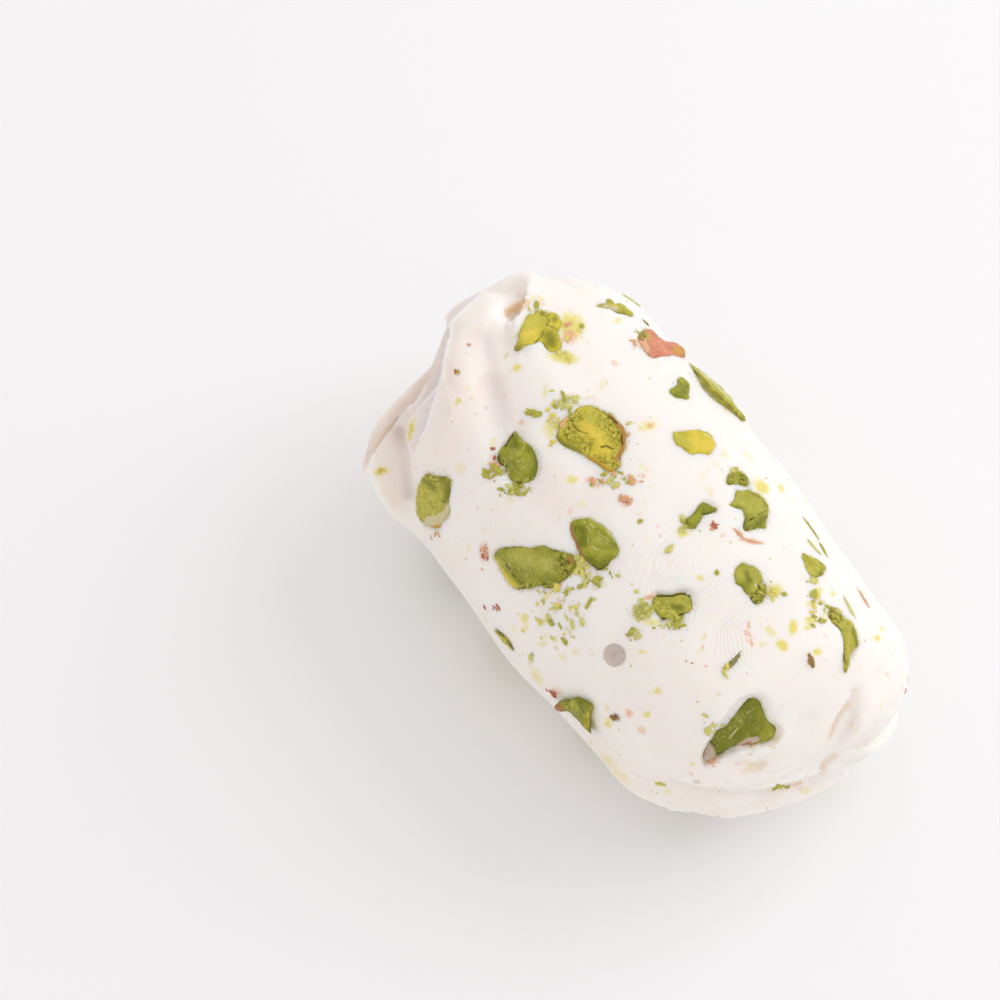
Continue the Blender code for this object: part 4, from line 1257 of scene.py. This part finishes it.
# The skin's tint: the folds' painted shade, painted highlights and painted reflections
fold = add(tree, "ShaderNodeAttribute", attribute_name="tint")
skin_layers = [(tone.outputs["Fac"], linear("#fcf6f2")), (fold.outputs["Alpha"], fold.outputs["Color"])]
mottle = add(tree, "ShaderNodeTexNoise", {"Vector": place, "Scale": 2.2, "Detail": 4.0, "Roughness": 0.65})
for name, colour, low, high in (
    ("yellow_stain", "#e8dd78", 0.12, 0.62),
    ("green_stain", "#c3be58", 0.26, 0.78),
    ("pink_stain", "#e9b28c", 0.20, 0.78),
):
    stain = add(tree, "ShaderNodeAttribute", attribute_name=name).outputs["Fac"]
    patchy = add(tree, "ShaderNodeMath", {0: stain, 1: mottle.outputs["Fac"]}, operation="ADD")
    share = add(tree, "ShaderNodeMapRange", {0: patchy.outputs[0], 1: low + 0.45, 2: high + 0.45, 4: 0.95})
    held = add(tree, "ShaderNodeMath", {0: stain, 1: 4.0}, operation="MULTIPLY", use_clamp=True)
    both = add(tree, "ShaderNodeMath", {0: share.outputs[0], 1: held.outputs[0]}, operation="MULTIPLY")
    skin_layers.append((both.outputs[0], linear(colour)))

# Soft blotches of nut oil and dust about 1 mm across, one in a few cells of 2.6 mm
wisp = add(tree, "ShaderNodeTexNoise", {"Vector": place, "Scale": 0.9, "Detail": 3.0})
strewn = add(
    tree, "ShaderNodeVectorMath",
    {0: wisp.outputs["Color"], 1: (1.6, 1.6, 1.6), 2: place}, operation="MULTIPLY_ADD",
)
blotch = add(tree, "ShaderNodeTexVoronoi", {"Vector": strewn.outputs[0], "Scale": 0.38, "Randomness": 1.0})
blotch_value = add(tree, "ShaderNodeSeparateColor", {0: blotch.outputs["Color"]})
blotch_edge = add(tree, "ShaderNodeMapRange", {0: blotch.outputs["Distance"], 1: 0.24, 2: 0.06, 4: 0.42})
blotch_few = add(tree, "ShaderNodeMath", {0: blotch_value.outputs[0], 1: 0.52}, operation="GREATER_THAN")
blotch_share = add(
    tree, "ShaderNodeMath", {0: blotch_edge.outputs[0], 1: blotch_few.outputs[0]}, operation="MULTIPLY",
)
skin_layers.append((blotch_share.outputs[0], linear("#e6dd84")))

# Specks of nut dust about 0.2 mm across, one in a few cells of 1.6 mm
dust = add(tree, "ShaderNodeTexVoronoi", {"Vector": place, "Scale": 0.62, "Randomness": 1.0})
dust_value = add(tree, "ShaderNodeSeparateColor", {0: dust.outputs["Color"]})
speck = add(tree, "ShaderNodeMapRange", {0: dust.outputs["Distance"], 1: 0.10, 2: 0.05})
few = add(tree, "ShaderNodeMath", {0: dust_value.outputs[0], 1: 0.6}, operation="GREATER_THAN")
speck_share = add(tree, "ShaderNodeMath", {0: speck.outputs[0], 1: few.outputs[0]}, operation="MULTIPLY")
speck_soft = add(tree, "ShaderNodeMath", {0: speck_share.outputs[0], 1: 0.6}, operation="MULTIPLY")
speck_colour = add(tree, "ShaderNodeValToRGB", {0: dust_value.outputs[1]})
speck_colour.color_ramp.interpolation = "CONSTANT"
speck_colour.color_ramp.elements[0].color = linear("#b9ba58")
speck_colour.color_ramp.elements[1].position = 0.78
speck_colour.color_ramp.elements[1].color = linear("#d79a74")
skin_layers.append((speck_soft.outputs[0], speck_colour.outputs[0]))

# Each layer over the ones before it: white, the folds' painted shade, highlights and reflections, the stains,
# the blotches and the specks
skin_colour = linear("#f8f0ea")
for share, over in skin_layers:
    skin_colour = add(tree, "ShaderNodeMix", {0: share, 6: skin_colour, 7: over}, data_type="RGBA").outputs[2]
tree.links.new(skin_colour, surface.inputs["Base Color"])

# Fine ridges that a fingertip left in rings round one place, this far apart in mm
RIDGE_STEP = 0.40
WHORL = (776, 646)
whorl = add(
    tree, "ShaderNodeVectorMath",
    {0: place, 1: tuple(seen(*WHORL)[0] / MM)}, operation="DISTANCE",
)
bend = add(tree, "ShaderNodeTexNoise", {"Vector": place, "Scale": 0.25, "Detail": 1.0})
bent = add(
    tree, "ShaderNodeMath",
    {0: bend.outputs["Fac"], 1: 3.0, 2: whorl.outputs["Value"]}, operation="MULTIPLY_ADD",
)
phase = add(tree, "ShaderNodeMath", {0: bent.outputs[0], 1: math.tau / RIDGE_STEP}, operation="MULTIPLY")
wave = add(tree, "ShaderNodeMath", {0: phase.outputs[0]}, operation="SINE")
finger = add(tree, "ShaderNodeAttribute", attribute_name="finger")
ridges = add(tree, "ShaderNodeMath", {0: wave.outputs[0], 1: finger.outputs["Fac"]}, operation="MULTIPLY")
grain = add(tree, "ShaderNodeTexNoise", {"Vector": place, "Scale": 1.6, "Detail": 4.0})
grain_bump = add(
    tree, "ShaderNodeBump", {"Strength": 0.2, "Distance": 0.0001, "Height": grain.outputs["Fac"]},
)
bump = add(
    tree, "ShaderNodeBump",
    {"Strength": 0.6, "Distance": 0.00005, "Height": ridges.outputs[0], "Normal": grain_bump.outputs[0]},
)
tree.links.new(bump.outputs[0], surface.inputs["Normal"])

# Where the fingertip pressed: places in the camera's frame and their sizes there
PRESSED = [(700, 595, 42), (733, 630, 34), (660, 565, 40), (738, 655, 20)]
pressed = np.zeros(len(points))
for place_across, place_down, size in PRESSED:
    apart = np.hypot(across - place_across, down - place_down) / size
    pressed = np.maximum(pressed, np.exp(-(apart ** 2) * 1.6))
paint(body.data, "finger", pressed * faces_camera)
body.data.materials.clear()
body.data.materials.append(nougat_look)
only(body)
bpy.ops.object.shade_smooth()
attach(body, "root")
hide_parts("nougat")


# --- Crumbs ---
# Crumbs of kernel and shreds of its skin, 0.1 to 1 mm, that stuck to the nougat and were pressed half into
# it while it was warm. Each kind is one piece.
CRUMB_SEED = 11
DUST_COUNT = 420
HIDDEN_COUNT = 16
ABOVE_TABLE = 0.4 * MM

# A crumb whose half length in mm is at most this gets 20 faces, and a larger one a few dozen
FINE_CRUMB = 0.14

# Their kinds: name, slot and two colours
CRUMB_LOOKS = {
    "G": ("crumbs_green", "pistachio_green", "#a3a53a", "#bfba55"),
    "P": ("crumbs_light", "pistachio_pale_green", "#c8c563", "#dcd890"),
    "Y": ("crumbs_yellow", "pistachio_yellow", "#dccb4e", "#ebe088"),
    "O": ("shreds_orange", "pistachio_skin", "#d99a6c", "#e8bb94"),
    "R": ("shreds_red", "pistachio_skin", "#a8593f", "#c67f60"),
    "D": ("shreds_brown", "pistachio_skin", "#8d7138", "#a98e50"),
    "K": ("crumbs_olive", "pistachio_green", "#7c7a45", "#a09c6c"),
}

# Where they gather: place in the camera's frame, spread across and down, how many and of which kinds
GATHERED = [
    (572, 336, 9, 12, 14, "OYG"), (534, 312, 12, 8, 10, "GP"), (562, 357, 14, 7, 8, "YP"),
    (515, 489, 17, 7, 50, "GPG"), (488, 473, 6, 5, 5, "G"), (494, 462, 3, 14, 8, "OR"),
    (565, 402, 14, 8, 44, "GPP"), (554, 425, 7, 22, 34, "PY"), (612, 471, 16, 6, 18, "GPO"),
    (630, 442, 4, 20, 9, "OP"), (606, 482, 40, 6, 24, "GPOY"), (434, 534, 8, 5, 9, "GPO"),
    (580, 566, 9, 15, 60, "PGPY"), (556, 589, 26, 5, 26, "GPO"), (594, 584, 10, 5, 12, "PG"),
    (614, 571, 7, 6, 8, "PG"), (484, 552, 5, 11, 14, "RO"), (494, 608, 11, 4, 14, "R"),
    (558, 612, 36, 26, 64, "GPY"), (555, 691, 7, 5, 10, "R"), (562, 706, 5, 5, 12, "RD"),
    (578, 700, 10, 4, 12, "P"), (642, 612, 10, 10, 70, "GPP"), (632, 634, 8, 6, 16, "GP"),
    (668, 626, 15, 4, 22, "GP"), (627, 502, 6, 4, 9, "RO"), (685, 526, 8, 8, 22, "GP"),
    (736, 474, 11, 5, 14, "PG"), (713, 526, 4, 4, 6, "R"), (769, 592, 8, 11, 14, "YGP"),
    (836, 612, 11, 6, 20, "PG"), (812, 581, 7, 3, 6, "P"), (816, 606, 12, 16, 22, "YG"),
    (709, 760, 7, 6, 6, "O"), (752, 741, 10, 3, 8, "O"), (711, 727, 12, 11, 14, "P"),
    (783, 787, 11, 3, 10, "G"), (642, 333, 6, 4, 10, "G"), (634, 345, 3, 8, 6, "O"),
    (604, 305, 12, 3, 8, "G"), (456, 372, 4, 3, 3, "GR"), (617, 718, 4, 3, 8, "DO"),
]

# Single crumbs and shreds: place in the camera's frame, length, width and turn there, and kind
SINGLE = [
    (734, 660, 17, 5, 46, "K"), (727, 667, 6, 6, 46, "Y"), (725, 674, 11, 3, -62, "P"),
    (811, 660, 12, 5, -78, "D"), (533, 413, 15, 7, -18, "G"), (486, 474, 10, 6, -60, "G"),
    (497, 470, 13, 6, -40, "G"), (811, 528, 20, 3, -50, "G"), (814, 547, 17, 3, -42, "P"),
    (823, 549, 17, 3, -60, "G"), (864, 599, 21, 3, -60, "O"), (849, 607, 22, 3, -64, "P"),
    (631, 300, 18, 3, 8, "P"), (646, 323, 9, 3, -35, "D"), (784, 594, 5, 4, 0, "G"),
    (717, 573, 4, 5, 0, "G"), (640, 521, 5, 4, 0, "G"), (660, 784, 9, 4, 0, "P"), (713, 523, 3, 6, 0, "R"),
    (712, 529, 5, 3, 30, "O"), (669, 549, 10, 5, 60, "P"), (589, 603, 12, 3, 60, "G"),
    (531, 657, 14, 5, 80, "P"), (738, 533, 12, 2, -45, "O"), (752, 541, 17, 2, -8, "O"),
    (686, 661, 3, 2, 0, "D"), (692, 663, 3, 2, 20, "R"), (747, 742, 14, 3, 20, "O"),
]

draw = random.Random(CRUMB_SEED)
heaps = {kind: bmesh.new() for kind in CRUMB_LOOKS}


def add_crumb(heap, point, normal, turn, length, width, height):
    """Adds one jagged lump, with half sizes in mm, sunk by half in the skin."""
    first = (right - normal * right.dot(normal)).normalized()
    second = normal.cross(first)
    turned = first * math.cos(turn) + second * math.sin(turn)
    across_it = normal.cross(turned)
    old_verts, old_edges = len(heap.verts), len(heap.edges)
    if length > FINE_CRUMB:
        bmesh.ops.create_cube(heap, size=1.5)
        heap.edges.ensure_lookup_table()
        new_edges = heap.edges[old_edges:]
        bmesh.ops.subdivide_edges(heap, edges=new_edges, cuts=2, use_grid_fill=True, smooth=0.6)
    else:
        bmesh.ops.create_icosphere(heap, subdivisions=1, radius=1.0)
    heap.verts.ensure_lookup_table()
    for vert in heap.verts[old_verts:]:
        x, y, z = vert.co * draw.uniform(0.45, 1.25)
        vert.co = point + (turned * x * length + across_it * y * width + normal * z * height) * MM


def drop_crumb(kind, point, normal, size):
    """One crumb of a usual size, pressed flat."""
    length = size * draw.uniform(0.7, 2.0)
    width = length * draw.uniform(0.3, 0.8)
    add_crumb(heaps[kind], point, normal, draw.uniform(0, math.tau), length, width, min(0.12, width * 0.5))


for middle_across, middle_down, spread_across, spread_down, count, kinds in GATHERED:
    for _ in range(count):
        point, normal = seen(
            middle_across + draw.gauss(0, spread_across / 2), middle_down + draw.gauss(0, spread_down / 2))
        size = draw.choice((0.06, 0.09, 0.13, 0.20))
        kind = draw.choice(kinds)
        if point is not None:
            drop_crumb(kind, point, normal, size)
for middle_across, middle_down, length, width, turn, kind in SINGLE:
    point, normal = seen(middle_across, middle_down)
    if point is not None:
        half = 0.5 / FRAME_PER_MM
        sizes = length * half, width * half, width * half * 0.6
        add_crumb(heaps[kind], point, normal, math.radians(turn), *sizes)

# Dust all round the log, and crumbs beside the kernels of the far side and the underside
for _ in range(DUST_COUNT):
    point, normal = around(draw.uniform(-24, 24), draw.uniform(0, 360))
    kind = draw.choice("GPPYYO")
    if point is not None and point.z > ABOVE_TABLE:
        drop_crumb(kind, point, normal, 0.07)
for nut, centre, facing, first, second in seats:
    if "more" not in nut.name:
        continue
    kinds = draw.choice(("GP", "GPO", "PYO"))
    for _ in range(HIDDEN_COUNT):
        turn, apart = draw.uniform(0, math.tau), draw.uniform(2.0, 4.2)
        aside = (first * math.cos(turn) + second * math.sin(turn)) * apart * MM
        start = Vector(centre + aside + facing * 4 * MM)
        point, normal, _, _ = body_tree.ray_cast(start, -Vector(facing))
        kind = draw.choice(kinds)
        if point is not None and point.z > ABOVE_TABLE:
            drop_crumb(kind, point, normal, 0.16)

for kind, (name, slot_name, one, other) in CRUMB_LOOKS.items():
    mesh = bpy.data.meshes.new(name)
    heaps[kind].to_mesh(mesh)
    heaps[kind].free()
    crumbs = put_in_scene(name, mesh)

    # Broken kernel or its papery skin: matt, mottled between two colours every 0.3 mm
    look, tree, surface, place = new_material(f"{name}_of_pistachio", {
        "Roughness": 0.6, "Specular IOR Level": 0.3,
        "Subsurface Weight": 0.2, "Subsurface Radius": (1.0, 0.9, 0.4), "Subsurface Scale": 0.0004,
    })
    mottle = add(tree, "ShaderNodeTexNoise", {"Vector": place, "Scale": 3.0, "Detail": 3.0})
    colour = add(
        tree, "ShaderNodeMix",
        {0: mottle.outputs["Fac"], 6: linear(one), 7: linear(other)}, data_type="RGBA",
    )
    tree.links.new(colour.outputs[2], surface.inputs["Base Color"])
    mesh.materials.append(look)
    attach(crumbs, "root")


# --- Table and light ---
# A pale matt tabletop under a large soft light from the right and behind, with a weak fill all round.
bpy.ops.object.select_all(action="DESELECT")
bpy.ops.mesh.primitive_plane_add(size=3.0)
table_top = bpy.context.object
table_top.name = "table_top"
table_top.data.materials.append(
    new_material("matt_white_laminate", {"Base Color": linear("#f4f6f8"), "Roughness": 0.7})[0])
table_top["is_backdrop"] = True

world = bpy.data.worlds.new("soft_daylight")
world.use_nodes = True
sky = world.node_tree.nodes["Background"]
sky.inputs["Color"].default_value = linear("#fffaf8")
sky.inputs["Strength"].default_value = 0.86
bpy.context.scene.world = world


def soft_light(name, direction, distance, size, power, colour):
    """A square area light that faces the log from a direction given as right, up and towards the camera."""
    way = (right * direction[0] + up * direction[1] + back * direction[2]).normalized()
    data = bpy.data.lights.new(name, "AREA")
    data.size = size
    data.energy = power
    data.color = linear(colour)[:3]
    light = put_in_scene(name, data)
    light.location = middle + way * distance
    light.rotation_mode = "QUATERNION"
    light.rotation_quaternion = way.to_track_quat("Z", "Y")


soft_light("window", (1.0, 0.75, 0.55), 0.6, 0.5, 1.27, "#f9fbff")

low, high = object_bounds()
